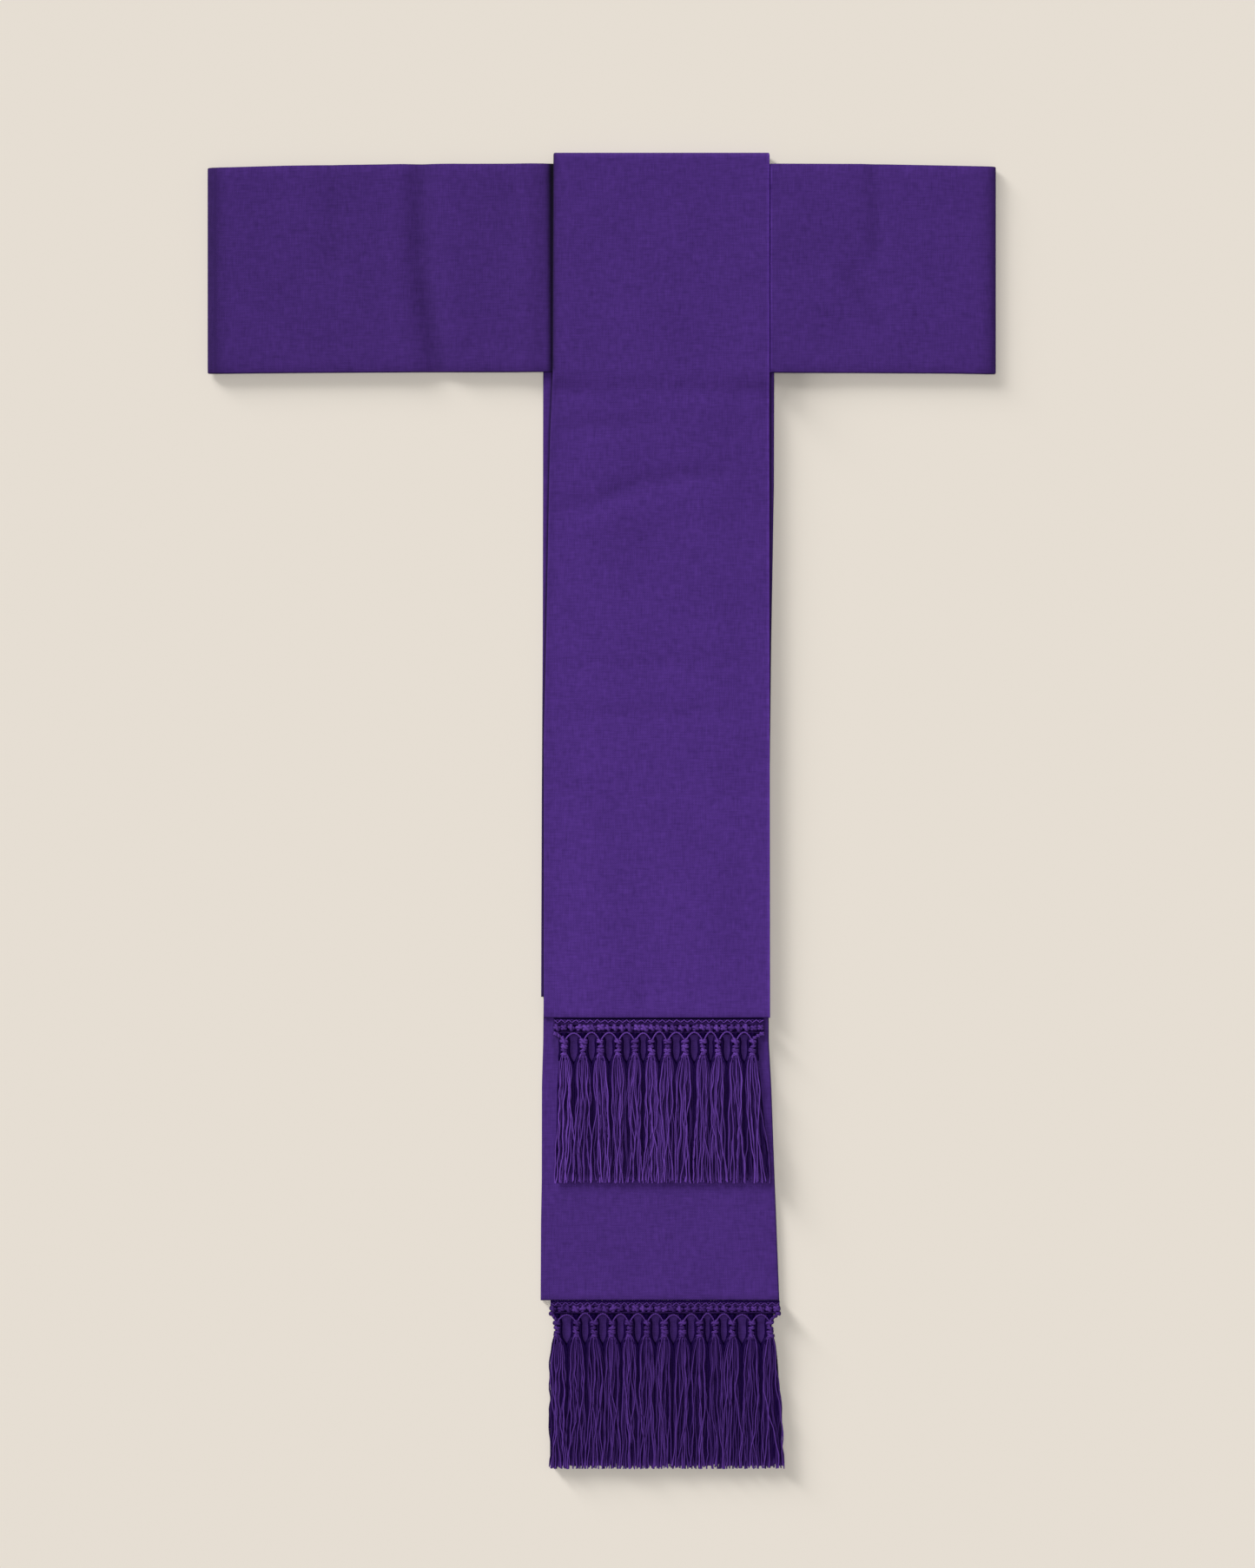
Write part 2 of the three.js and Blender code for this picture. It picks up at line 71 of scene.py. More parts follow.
BACK_LAYER_RISE = FALL_CLOTH + SEAM
BACK_LAYER_CLIMB = {"left": (-58, -40), "right": (110, 120)}
FINE_BESIDE_GROOVE = {"start": -56.0, "finest": -39.0, "end": -28.0, "step": 1.4, "finest_step": 0.4}
FINE_BESIDE_FALL = {"start": 104.4, "end": 110.4, "step": 0.5}
BAND_EDGES = (
    {"x": -249.7, "top": 406.7, "bottom": 276.7},
    {"x": -200.0, "top": 408.1, "bottom": 277.2},
    {"x": -118.0, "top": 409.2, "bottom": 277.7},
    {"x": 0.0, "top": 409.5, "bottom": 277.8},
    {"x": 163.0, "top": 409.2, "bottom": 277.2},
    {"x": 221.0, "top": 408.1, "bottom": 276.9},
    {"x": 249.7, "top": 407.5, "bottom": 276.4},
)

# Falls
FALL_TOP = 416.4
FALL_WIDTH = 141.0
FALL_TURN_STEPS = 8
FALL_LEVEL_ON_BAND = BAND_LEVEL_UNDER_FALL + SEAM
FALL_LEVEL_ON_BACK = FALL_CLOTH + SEAM
FALL_HEM = -130.9
FALL_PUFF = 1.6
FALL_PUFF_MARGIN = 38.0
DROP_START = 277.0
DROP_END = 263.5
HEM_ALLOWANCE = 15.6
HEM_STEP = 0.22
HEM_STEP_WIDTH = {"inner": -1.2, "outer": 0.6}
HEM_STARTS_OVER = 20.0
FALL_CREASE_FADE = {"start": -2.0, "end": 8.0}
BACK_CREASE_FADE = 6.0
FRONT_FALL_EDGES = (
    {"y": 416.4, "left": -30.9, "right": 105.7},
    {"y": 276.7, "left": -31.4, "right": 105.7},
    {"y": 238.7, "left": -33.1, "right": 105.7},
    {"y": 200.2, "left": -33.9, "right": 105.8},
    {"y": 139.7, "left": -35.0, "right": 105.8},
    {"y": 46.2, "left": -37.2, "right": 105.9},
    {"y": -130.9, "left": -37.2, "right": 106.1},
)
BACK_UPPER_EDGES = (
    {"y": 412.5, "left": -30.9, "right": 105.7},
    {"y": 345.0, "left": -34.6, "right": 107.6},
    {"y": 276.7, "left": -37.5, "right": 108.8},
    {"y": 205.7, "left": -37.6, "right": 108.6},
    {"y": 106.7, "left": -37.8, "right": 106.9},
    {"y": 7.7, "left": -38.4, "right": 105.8},
    {"y": -117.7, "left": -38.8, "right": 105.8},
)
BACK_LOWER_EDGES = (
    {"y": -118.0, "left": -37.2, "right": 105.3},
    {"y": -146.3, "left": -37.5, "right": 105.4},
    {"y": -173.8, "left": -38.3, "right": 106.9},
    {"y": -234.3, "left": -38.4, "right": 109.1},
    {"y": -261.8, "left": -38.9, "right": 110.2},
    {"y": -309.9, "left": -39.1, "right": 112.0},
)
TAPE = {"left": -29.5, "right": 107.0, "top": -310.2, "bottom": -338.4}

# Creases placed one by one: route, half width and depth of each, where a ridge has a depth below nought
BAND_CREASES = (
    {"route": ((-115, 412), (-114, 350), (-111, 322), (-105, 290), (-102, 274)), "width": 7.5, "depth": 2.2},
    {"route": ((-111, 330), (-105, 292)), "width": 6.0, "depth": 0.8},
    {"route": ((-96, 406), (-97, 350), (-92, 300)), "width": 11.0, "depth": -0.6},
    {"route": ((-128, 410), (-130, 330), (-124, 280)), "width": 7.0, "depth": -0.4},
    {"route": ((-171, 408), (-168, 378), (-170, 346)), "width": 5.5, "depth": 0.7},
    {"route": ((-169, 324), (-170, 292)), "width": 6.0, "depth": 0.3},
    {"route": ((-96, 292), (-50, 301)), "width": 5.0, "depth": 0.3},
    {"route": ((172, 404), (174, 354)), "width": 5.0, "depth": 1.4},
    {"route": ((158, 338), (176, 309)), "width": 6.0, "depth": 1.3},
    {"route": ((146, 396), (152, 352), (140, 318)), "width": 9.0, "depth": -0.25},
    {"route": ((110, 392), (111, 386)), "width": 6.0, "depth": 0.45},
    {"route": ((110, 304), (111, 286)), "width": 6.0, "depth": 0.4},
)
FALL_CREASES = (
    {"route": ((-20, 245), (12, 243)), "width": 4.5, "depth": 0.9},
    {"route": ((-30, 195), (-6, 195), (22, 207), (54, 213), (76, 213)), "width": 5.5, "depth": 1.2},
    {"route": ((-10, 183), (30, 190), (70, 194)), "width": 9.0, "depth": -0.4},
    {"route": ((92, 212), (100, 208)), "width": 4.5, "depth": 0.4},
    {"route": ((10, 168), (60, 186)), "width": 12.0, "depth": 0.25},
    {"route": ((-20, 256), (40, 258), (96, 255)), "width": 6.0, "depth": -0.5},
    {"route": ((-31, 91), (4, 92), (50, 94), (98, 94)), "width": 4.5, "depth": 0.4},
    {"route": ((-31, 60), (20, 61), (62, 63), (102, 61)), "width": 4.5, "depth": 0.55},
    {"route": ((-30, 15), (-14, 15)), "width": 4.5, "depth": 0.35},
    {"route": ((4, -10), (20, -22)), "width": 8.0, "depth": 0.3},
    {"route": ((26.5, -128), (26, -108)), "width": 3.5, "depth": 0.6},
    {"route": ((57, -128), (58.5, -114)), "width": 3.5, "depth": 0.5},
)
BACK_CREASES = (
    {"route": ((10, -250), (24, -300)), "width": 8.0, "depth": 0.2},
    {"route": ((66, -262), (80, -306)), "width": 8.0, "depth": 0.2},
)

# Painted shade of the cloth: how much darker its rims are painted, and how much lighter or darker the cloth
# is from place to place
# Painted shade: every rim of the cloth darker where it turns down
RIM_SHADE = 0.45
# Each wing's level, and painted shade darkening the band's two folded ends
BAND_SHADE = {"left": -0.09, "right": -0.03, "left_end": 0.42, "right_end": 0.26, "end_reach": 8.0}
# The front fall lighter towards its hem
FALL_SHADE = (
    {"y": 416.0, "shade": 0.0},
    {"y": 277.0, "shade": 0.02},
    {"y": 200.0, "shade": 0.06},
    {"y": 70.0, "shade": 0.13},
    {"y": -130.0, "shade": 0.16},
)
BACK_SHADE = 0.03
# Painted shade: the cloth darker along its creases, the deeper the darker
CREASE_SHADE = 0.06
# Painted shadow of the front fringe's necks on the back fall, and of the back fringe's on its tape
NECK_SHADE = -0.22
NECK_SHADE_END = {"start": 9.0, "end": 22.0}
# Painted shade in the groove beside the front fall's left edge and on the band to its left
GROOVE_SHADE = {"ends_at": 60.0, "side_share": 0.375, "side": 0.7, "reach": 7.0, "top": 0.17}

# Painted lines beside edges, painted shade where darker and painted light where lighter: how far each
# reaches and how much darker it is, lighter where below nought
# Painted light: the band lighter beside the front fall's right edge, against the shade in the gap there
BAND_PAINTED_LIGHT_BY_FALL = {"x": 105.8, "reach": 0.8, "darker": -2.3}
# Painted shade along the front fall's left edge and hem, painted light along its right edge, and a little
# lighter inside its right hem
FALL_PAINTED_LINES = {
    "left": {"reach": 5.0, "darker": 0.10},
    "left_on_band": {"reach": 1.5, "darker": 0.42},
    "right_hem": {"reach": 7.0, "darker": -0.03},
    "right": {"reach": 1.0, "darker": -1.3},
    "lower_hem": {"reach": 2.2, "darker": 0.12},
}
# Painted shade along the back fall's sides and lower end, and painted shadow beside and below the front fall
BACK_PAINTED_SHADE_LINES = {
    "sides": {"reach": 3.0, "darker": 0.08},
    "lower_end": {"reach": 2.5, "darker": 0.12},
    "beside_front_fall": {"reach": 1.3, "darker": 0.75},
    "below_front_fall": {"reach": 1.6, "darker": 0.6},
}

# Fringes, each with its heading, necks and skirt of yarns
FRINGES = (
    {
        "name": "front", "base": FALL_CLOTH, "skirt_base": FALL_CLOTH,
        "left": -31.1, "right": 102.5, "top": -131.2, "bottom": -141.4,
        "neck_top": -144.1, "tip": -235.4, "knots": 29, "skirt_left": -29.6, "skirt_right": 105.8,
        "necks": (-24.0, -12.2, -1.3, 9.9, 20.7, 31.0, 41.1, 52.4, 63.8, 73.3, 84.3, 95.0),
        "light": 0.92, "seed": 11,
    },
    {
        "name": "back", "base": TAPE_CLOTH, "skirt_base": 0.0,
        "left": -33.3, "right": 112.6, "top": -310.2, "bottom": -318.4,
        "neck_top": -322.3, "tip": -416.4, "knots": 31, "skirt_left": -32.9, "skirt_right": 114.3,
        "necks": (-28.9, -16.4, -5.4, 6.0, 17.0, 28.0, 39.2, 50.7, 61.7, 71.4, 82.3, 94.4, 106.2),
        "light": 0.6, "seed": 29,
    },
)

# Cords of the headings, and the loops and arcs that they make
CORD_STEPS = 60
CORD_INSET = 0.5
# Backing cords under the heading's knots, black as painted shade between them
BACKING = {"cords": 6, "radius": 0.85, "level": 0.9, "tone": 0.0}
TOP_CORD = {"place": 0.01, "radius": 0.45, "level": 0.5, "tone": 0.0}
RAILS = {"places": (0.34, 0.87), "level": 1.75, "tone": 0.4}
RAIL_YARN = {"radius": 0.3, "plies": 2, "twist": 0.26, "pitch": 2.6, "sides": 5}
CHAIN = {"inset": 0.6, "down": 1.75, "loop": 0.7, "uneven": 0.22, "level": 2.1, "crossing": 0.4}
CHAIN_STEPS = 8
CHAIN_TONE = {1: 1.5, -1: 0.7}
CHAIN_YARN = {"radius": 0.24, "plies": 2, "twist": 0.14, "pitch": 2.2, "sides": 5}
ARC = {"crown": 4.1, "lower": -0.6, "higher": 0.5, "inset": 0.9, "foot": -0.3, "level": 0.9, "raised": 0.3}
ARC_TONE = 1.3
ARC_ROUNDNESS = 0.8
ARC_STEPS = 24
END_ARC = {"start": 0.12, "above": 1.2, "foot": -0.4, "level": 0.8, "sinks": 0.3, "tone": 0.8}
END_ARC_STEPS = 12
ARC_YARN = {"radius": 0.34, "plies": 2, "twist": 0.24, "pitch": 2.8, "sides": 6}

# Necks of the tassels
HEAD_LEVEL = 2.1
NECK_KNOTS = (
    {"down": 1.6, "across": 2.8, "along": 2.3},
    {"down": 4.9, "across": 2.4, "along": 1.9},
    {"down": 7.4, "across": 2.6, "along": 1.9},
    {"down": 9.8, "across": 2.3, "along": 1.7},
)
# Core, side and back cords of each neck, dark or black as painted shade round the neck
NECK_CORE_RADIUS = 0.95
NECK_CORE = {"above": 0.5, "step": 1.75, "points": 7, "tone": 0.1}
NECK_SHADE_CORD_LEVEL = -0.8
NECK_BACK_SHADE_CORD = {"above": 0.5, "step": 1.1, "level": -0.9, "widths": (1.2, 1.6, 2.0, 2.3, 2.4)}
NECK_SHADE_CORDS = (
    {"down": -1.6, "out": 1.6, "width": 0.6},
    {"down": -0.4, "out": 2.1, "width": 1.1},
    {"down": 2.0, "out": 2.5, "width": 1.25},
    {"down": 5.0, "out": 2.3, "width": 1.25},
    {"down": 8.5, "out": 2.3, "width": 1.25},
    {"down": 11.5, "out": 3.0, "width": 1.1},
    {"down": 14.0, "out": 3.6, "width": 0.35},
)

# Tied knots
HEADING_KNOT = {
    "size": (2.4, 3.0), "uneven": (0.9, 1.1), "raised": 1.8, "place": 0.58, "level": 2.1,
    "turn": (-0.9, 0.9), "light": (0.55, 1.25),
}
END_KNOTS = ({"place": 0.1, "size": 1.9}, {"place": 0.45, "size": 1.6}, {"place": 0.8, "size": 1.5})
END_KNOT = {"inset": 0.9, "above": 0.8, "raised": 1.5, "turn": (-1.2, 1.2), "light": (0.6, 1.0)}
NECK_KNOT = {"raised": 1.6, "scale": (0.85, 1.12), "turn": (-0.7, 0.7), "light": (0.6, 1.25)}
KNOT_DRIFT = {"along": (-0.35, 0.35), "down": (-0.25, 0.25)}
KNOT_FORM = {"length": 0.62, "width": 0.36, "first": 0.5, "second": 0.72, "cord": 0.38, "steps": 24}
# Painted light and shade along a knot's cord: darkest where it passes underneath, lightest on top, blending
# over the given span of its rise
KNOT_PAINTED_LIGHT_AND_SHADE = {"end": 0.12, "crest": 1.12, "over": (0.1, 0.9)}

# How much the tassels, their locks of yarn and their single yarns differ
TASSEL = {"fullness": (0.86, 1.03), "lean": (-1.5, 1.5), "light": (0.9, 1.16)}
LOCK = {"size": (0.4, 1.2), "length": (50, 95), "rise": (-0.25, 0.25)}
CURL = {"size": (0.15, 0.5), "length": (12, 26), "height": 0.25}
PHASE = (0, 6.3)
TIP = {"spread": 0.08, "stray": (0.25, 0.5), "uneven": 2.2, "lit": 5.0, "tone": 0.35}
UNDER_SHORTER = 1.6
YARN_LEVEL = (-0.2, 0.2)
YARN_PLACE = (-0.25, 0.25)
PLY = {"neck": 0.9, "swell": 0.08, "turns": 1.7, "differs": 9}

# Where a yarn changes on its way down, in millimetres below the top of its neck
LOOSE_OVER = (12, 34)
SETTLES_OVER = (11, 34)
THICKENS_OVER = (9, 12)
TO_TIP_FROM = 35
BELL_FROM = {"left": 30, "right": 15}

# How a yarn gathers into its lock, leans, passes its tassel's side and starts in the neck
GATHERED = {"share": 0.5, "ends_above_tip": 34}
LEAN_SHARE = 0.8
PAST_SIDE = 0.6
ROOT_LEVEL = {"middle": 2.2, "share": 0.5}
STEPS_CROWD = 1.25

# Yarns of a tassel, layer by layer, and how they spread on their way down
YARN_RADIUS = 0.46
YARN_STEPS = 24
YARN_TAPER = 0.6
UNDER_INSET = 1.2
OUTER_BELL = {"left": 4.5, "right": 4.9}
# Darker tone ranges in lower layers, and darkening towards a tassel's sides (edge), are painted shade;
# within a range each yarn's tone is random
YARN_LAYERS = (
    {"name": "under", "count": 11, "level": 1.2, "dark": 0.05, "light": 0.16, "edge": 0.0, "locks": 11,
     "thick": 2.8},
    {"name": "middle", "count": 10, "level": 2.2, "dark": 0.0, "light": 0.38, "edge": 0.3, "locks": 3,
     "thick": 1.0},
    {"name": "upper", "count": 9, "level": 3.0, "dark": 0.3, "light": 1.45, "edge": 0.8, "locks": 4,
     "thick": 0.86},
    {"name": "stray", "count": 3, "level": 3.7, "dark": 1.0, "light": 1.6, "edge": 1.0, "locks": 3,
     "thick": 0.8},
)
SKIRT_SPREAD = (
    {"down": 8.6, "under": 0.0, "other": 0.0},
    {"down": 10.6, "under": 0.24, "other": 0.25},
    {"down": 13.0, "under": 0.5, "other": 0.5},
    {"down": 16.0, "under": 0.84, "other": 0.66},
    {"down": 19.0, "under": 0.98, "other": 0.79},
    {"down": 24.0, "under": 1.0, "other": 0.89},
    {"down": 32.0, "under": 1.0, "other": 0.94},
    {"down": 80.0, "under": 0.98, "other": 1.0},
    {"down": 93.0, "under": 1.0, "other": 1.05},
)

# Colours and weave
CLOTH_DARK = (0.042, 0.0135, 0.128)
CLOTH_LIGHT = (0.074, 0.0255, 0.212)
YARN_DARK = (0.0045, 0.0004, 0.027)
YARN_LIGHT = (0.152, 0.060, 0.372)
FLOOR_COLOUR = (0.79, 0.73, 0.65)
FLOOR_HALF_SIDE = 6000
THREAD_PITCH = 0.7
WEAVE = {"threads": 0.35, "slubs": 0.3, "mottle": 0.28, "patches": 0.12}
BUMP_DEPTH = 0.2

# Places of the colours among the sockets of a Mix node
MIX_COLOURS = {"a": 6, "b": 7, "result": 2}

# Camera: height and centre of what it sees on the floor, and its lens
FRAME_HEIGHT = 993.3
FRAME_CENTRE = (15.9, 17.05)
LENS = 100.0
SENSOR = 36.0

# Studio: even fill and soft lights from the upper left, with lower ones for the floor's shadows
FILL_SHARE = 0.20
LAMPS = (
    {"name": "top", "plan": 135.0, "elevation": 88.0, "softness": 40.0, "share": 0.40, "on": "pieces"},
    {"name": "key", "plan": 135.0, "elevation": 27.0, "softness": 26.0, "share": 0.40, "on": "pieces"},
    {"name": "floor_fill", "plan": 135.0, "elevation": 88.0, "softness": 10.0, "share": 0.24,
     "on": "floor", "shaded_by": "nothing"},
    {"name": "floor_key", "plan": 135.0, "elevation": 16.0, "softness": 20.0, "share": 0.20,
     "on": "floor", "shaded_by": "all"},
    {"name": "floor_key_by_band", "plan": 120.0, "elevation": 22.0, "softness": 28.0, "share": 0.16,
     "on": "floor", "shaded_by": "band"},
    {"name": "floor_key_by_falls", "plan": 135.0, "elevation": 9.5, "softness": 12.0, "share": 0.20,
     "on": "floor", "shaded_by": "falls"},
)


def smooth(value, low, high):
    """Smooth step from 0 at low to 1 at high."""
    share = min(1.0, max(0.0, (value - low) / (high - low)))
    return share * share * (3 - 2 * share)


def span_share(value, low, high):
    """Straight share from 0 at low to 1 at high."""
    return min(1.0, max(0.0, (value - low) / (high - low)))


def mix(a, b, share):
    """Value between a and b."""
    return a + (b - a) * share


def table_value(rows, key, column, at):
    """Value of one column of a table between its rows, which may run either way."""
    rows = sorted(rows, key=lambda row: row[key])
    if at <= rows[0][key]:
        return rows[0][column]
    for low, high in zip(rows, rows[1:]):
        if at <= high[key]:
            return mix(low[column], high[column], (at - low[key]) / (high[key] - low[key]))
    return rows[-1][column]


def crease_depth(creases, x, y):
    """Depth of the cloth's soft troughs at a point, each round its own route."""
    total = 0.0
    for crease in creases:
        nearest = 1e9
        for (ax, ay), (bx, by) in zip(crease["route"], crease["route"][1:]):
            dx, dy = bx - ax, by - ay
            share = ((x - ax) * dx + (y - ay) * dy) / (dx * dx + dy * dy)
            share = min(1.0, max(0.0, share))
            nearest = min(nearest, math.hypot(x - ax - share * dx, y - ay - share * dy))
        away = nearest / crease["width"]
        if away < 3:
            total += crease["depth"] * math.exp(-away * away)
    return total


def near_edge(distance, reach, darker):
    """Change of painted shade or light beside an edge, fading over a reach."""
    return -darker * math.exp(-(distance / reach) ** 2)


# Cloth shells

def stations(length, step, rim, border=0.0):
    """Places from edge to edge of a cloth, with the share of its thickness at each.

    A border is the width beside both edges that has finer steps.
    """
    edge = [(rim * (1 - math.cos(math.radians(a))), math.sin(math.radians(a))) for a in RIM_ANGLES]
    if border:
        edge += [(place, 1.0) for place in spaced(rim, border, BORDER_STEP)[1:]] + [(border, 1.0)]
    start = edge[-1][0]
    count = max(2, round((length - 2 * start) / step))
    inner = [(start + (length - 2 * start) * i / count, 1.0) for i in range(1, count)]
    return edge + inner + [(length - place, share) for place, share in reversed(edge)]


def spaced(start, end, step):
    """Places from start up to end, about a step apart."""
    count = round((end - start) / step)
    return [start + (end - start) * i / count for i in range(count)]


def new_object(name, vertices, faces, material, uvs=None, shades=None):
    """Mesh object in metres from points in millimetres, with the cloth's own UVs in metres."""
    mesh = bpy.data.meshes.new(name)
    mesh.from_pydata([Vector(v) * MM for v in vertices], [], faces)
    if uvs:
        layer = mesh.uv_layers.new(name="cloth")
        for loop in mesh.loops:
            u, v = uvs[loop.vertex_index]
            layer.data[loop.index].uv = (u * MM, v * MM)
    if shades:
        mesh.attributes.new("shade", "FLOAT", "POINT").data.foreach_set("value", shades)
    mesh.materials.append(material)
    mesh.polygons.foreach_set("use_smooth", [True] * len(mesh.polygons))
    mesh.update()
    piece = bpy.data.objects.new(name, mesh)
    bpy.context.scene.collection.objects.link(piece)
    return piece


def cloth_shell(name, surface, across, along, thickness, material, shade, around=False):
    """Closed wall of cloth on a middle surface, rounded along its edges.

    surface(u, v) gives the middle point for distances across and along the cut, and
    shade(point) how much lighter or darker the cloth is there. around closes the cloth
    across, as a loop.
    """
    vertices, uvs, shades, top, bottom = [], [], [], [], []
    for v, v_share in along:
        top_row, bottom_row = [], []
        for u, u_share in across:
            point = surface(u, v)
            du = surface(u + SLOPE_STEP, v) - surface(u - SLOPE_STEP, v)
            dv = surface(u, v + SLOPE_STEP) - surface(u, v - SLOPE_STEP)
            normal = du.cross(dv).normalized()
            half = thickness / 2 * min(u_share, v_share)
            # Painted shade: darker towards the rims, where the cloth's thickness runs out
            tone = shade(point) - RIM_SHADE * (1 - min(u_share, v_share))
            top_row.append(len(vertices))
            vertices.append(point + normal * half)
            uvs.append((u, v))
            shades.append(tone)
            if half > 1e-6:
                bottom_row.append(len(vertices))
                vertices.append(point - normal * half)
                uvs.append((u, v))
                shades.append(tone)
            else:
                bottom_row.append(top_row[-1])
        top.append(top_row)
        bottom.append(bottom_row)
    return new_object(name, vertices, shell_faces(top, bottom, around), material, uvs, shades)


def shell_faces(top, bottom, around):
    """Faces of both sides of a shell, from the rows of its points."""
    faces = []
    columns = len(top[0])
    for row in range(len(top) - 1):
        for column in range(columns if around else columns - 1):
            after = (column + 1) % columns
            for grid, turned in ((top, False), (bottom, True)):
                face = [grid[row][column], grid[row][after], grid[row + 1][after], grid[row + 1][column]]
                corners = list(dict.fromkeys(face))
                if len(corners) > 2 and not (turned and set(corners) <= {
                        top[row][column], top[row][after], top[row + 1][after], top[row + 1][column]}):
                    faces.append(corners[::-1] if turned else corners)
    return faces


# Waistband: a loop round both layers and both folded ends

def band_edge(x, share):
    """Place up the page, from 0 at the band's lower edge to 1 at its upper."""
    bottom = table_value(BAND_EDGES, "x", "bottom", x)
    top = table_value(BAND_EDGES, "x", "top", x)
    return mix(bottom, top, share)


def groove_place(share):
    """Left side of the groove beside the front fall, narrower towards the band's lower edge."""
    return mix(GROOVE["bottom_x"], GROOVE["top_x"], share)


def groove_side(share):
    """How far the cloth turns down into the groove, less towards the band's lower edge."""
    return mix(GROOVE["bottom_side"], GROOVE["top_side"], share)


def band_front_level(x, y, inside, share):
    """Height of the upper face of the band; inside is the distance from its nearer edge."""
    groove_x = groove_place(share)
    risen = span_share(x, RIGHT_RISE["start"], RIGHT_RISE["end"])
    beyond = risen * (1 - smooth(x, RIGHT_LEVELLING["start"], RIGHT_LEVELLING["end"]))
    under = span_share(x, groove_x - groove_side(share), groove_x) ** GROOVE["steepness"] * (1 - risen)
    away = (x - SHOULDER["x"]) / SHOULDER["width"]
    swell = SHOULDER["rise"] * math.exp(-away * away)
    roll = BAND_EDGE_ROLL * (1 - smooth(inside, 0, BAND_EDGE_ROLL_WIDTH))
    free = mix(BAND_HEIGHT, BAND_LEVEL_RIGHT_OF_FALL, beyond)
    free += swell - roll - crease_depth(BAND_CREASES, x, y)
    climbed = smooth(x, groove_x + GROOVE["level_until"], groove_x + GROOVE["risen_by"])
    return mix(free, mix(GROOVE["level"], BAND_LEVEL_UNDER_FALL, climbed), under)


def band_back_level(x):
    """Height of the underside of the band, which climbs over the back fall."""
    climbed = smooth(x, *BACK_LAYER_CLIMB["left"])
    return BACK_LAYER_RISE * climbed * (1 - smooth(x, *BACK_LAYER_CLIMB["right"]))


def band_stations(straight, fold):
    """Places round the loop, finer beside the groove and beside the front fall's right edge."""
    flat = 2 * straight
    back = flat + 2 * fold
    places = spaced(0, flat, CLOTH_STEP) + spaced(flat, back, BAND_FOLD_STEP)
    places += spaced(back, back + flat, CLOTH_STEP * 2)
    places += spaced(back + flat, 2 * back, BAND_FOLD_STEP)
    start, finest, end = (straight + FINE_BESIDE_GROOVE[key] for key in ("start", "finest", "end"))
    places = [u for u in places if not start < u < end]
    places += spaced(start, finest, FINE_BESIDE_GROOVE["step"])
    places += spaced(finest, end, FINE_BESIDE_GROOVE["finest_step"])
    beside_fall = spaced(FINE_BESIDE_FALL["start"], FINE_BESIDE_FALL["end"], FINE_BESIDE_FALL["step"])
    places += [straight - BAND_MIDDLE + x for x in beside_fall]
    return [(u, 1.0) for u in sorted(places)]


def band_shade(point):
    """Painted shade and light of the waistband: each wing's level, darker ends, creases and groove, and a
    lighter line by the front fall.
    """
    share = span_share(point.y, band_edge(point.x, 0), band_edge(point.x, 1))
    side = "left" if point.x < 0 else "right"
    to_end = BAND_HALF_LENGTH - abs(point.x - BAND_MIDDLE)
    # Each wing's level, and painted shade at both folded ends
    tone = BAND_SHADE[side] + near_edge(to_end, BAND_SHADE["end_reach"], BAND_SHADE[side + "_end"])
    # Painted shade in the creases
    tone -= CREASE_SHADE * crease_depth(BAND_CREASES, point.x, point.y)
    # Painted shade in and beside the groove
    if point.x < GROOVE_SHADE["ends_at"]:
        to_groove = min(0.0, point.x - groove_place(share))
        side_reach = groove_side(share) * GROOVE_SHADE["side_share"]
        tone += near_edge(to_groove, side_reach, GROOVE_SHADE["side"])
        tone += near_edge(to_groove, GROOVE_SHADE["reach"], GROOVE_SHADE["top"] * share)
    # Painted light along the front fall's right edge
    line = BAND_PAINTED_LIGHT_BY_FALL
    return tone + near_edge(point.x - line["x"], line["reach"], line["darker"])


def waistband(material):
    """Loop of the waistband, hemmed at its two long edges, with its depth and its length."""
    reach = BAND_FOLD_REACH - BAND_CLOTH / 2
    straight = BAND_HALF_LENGTH - BAND_FOLD_REACH
    fold = math.pi * reach / 2 * BAND_FOLD_PRESSED
    depth = band_edge(0, 1) - band_edge(0, 0)
    flat = 2 * straight
    around_length = 2 * flat + 4 * fold

    def surface(u, v):
        """Middle point u round the loop, from the front's left end, and v up from the lower edge."""
        share = v / depth
        u %= around_length
        if u < flat:
            x, turn = BAND_MIDDLE - straight + u, None
        elif u < flat + 2 * fold:
            x, turn = BAND_MIDDLE + straight, math.pi / 2 - math.pi * (u - flat) / (2 * fold)
        elif u < 2 * flat + 2 * fold:
            x, turn = BAND_MIDDLE + straight - (u - flat - 2 * fold), "back"
        else:
            x, turn = BAND_MIDDLE - straight, -math.pi / 2 - math.pi * (u - 2 * flat - 2 * fold) / (2 * fold)
        out = reach * math.cos(turn) if isinstance(turn, float) else 0.0
        y = band_edge(x + out, share)
        inside = min(share, 1 - share) * depth
        front = band_front_level(x, y, inside, share) - BAND_CLOTH / 2
        back = band_back_level(x) + BAND_CLOTH / 2
        if turn is None:
            return Vector((x, y, front))
        if turn == "back":
            return Vector((x, y, back))
        return Vector((x + out, y, mix(back, front, (math.sin(turn) + 1) / 2)))

    across = band_stations(straight, fold)
    along = stations(depth, CLOTH_STEP, BAND_CLOTH / 2)
    shell = cloth_shell("waistband", surface, across, along, BAND_CLOTH, material, band_shade, around=True)
    return shell, depth, around_length


# Falls

def edge_place(edges, y, share):
    """Place across a fall, from 0 at its left edge to 1 at its right."""
    return mix(table_value(edges, "y", "left", y), table_value(edges, "y", "right", y), share)


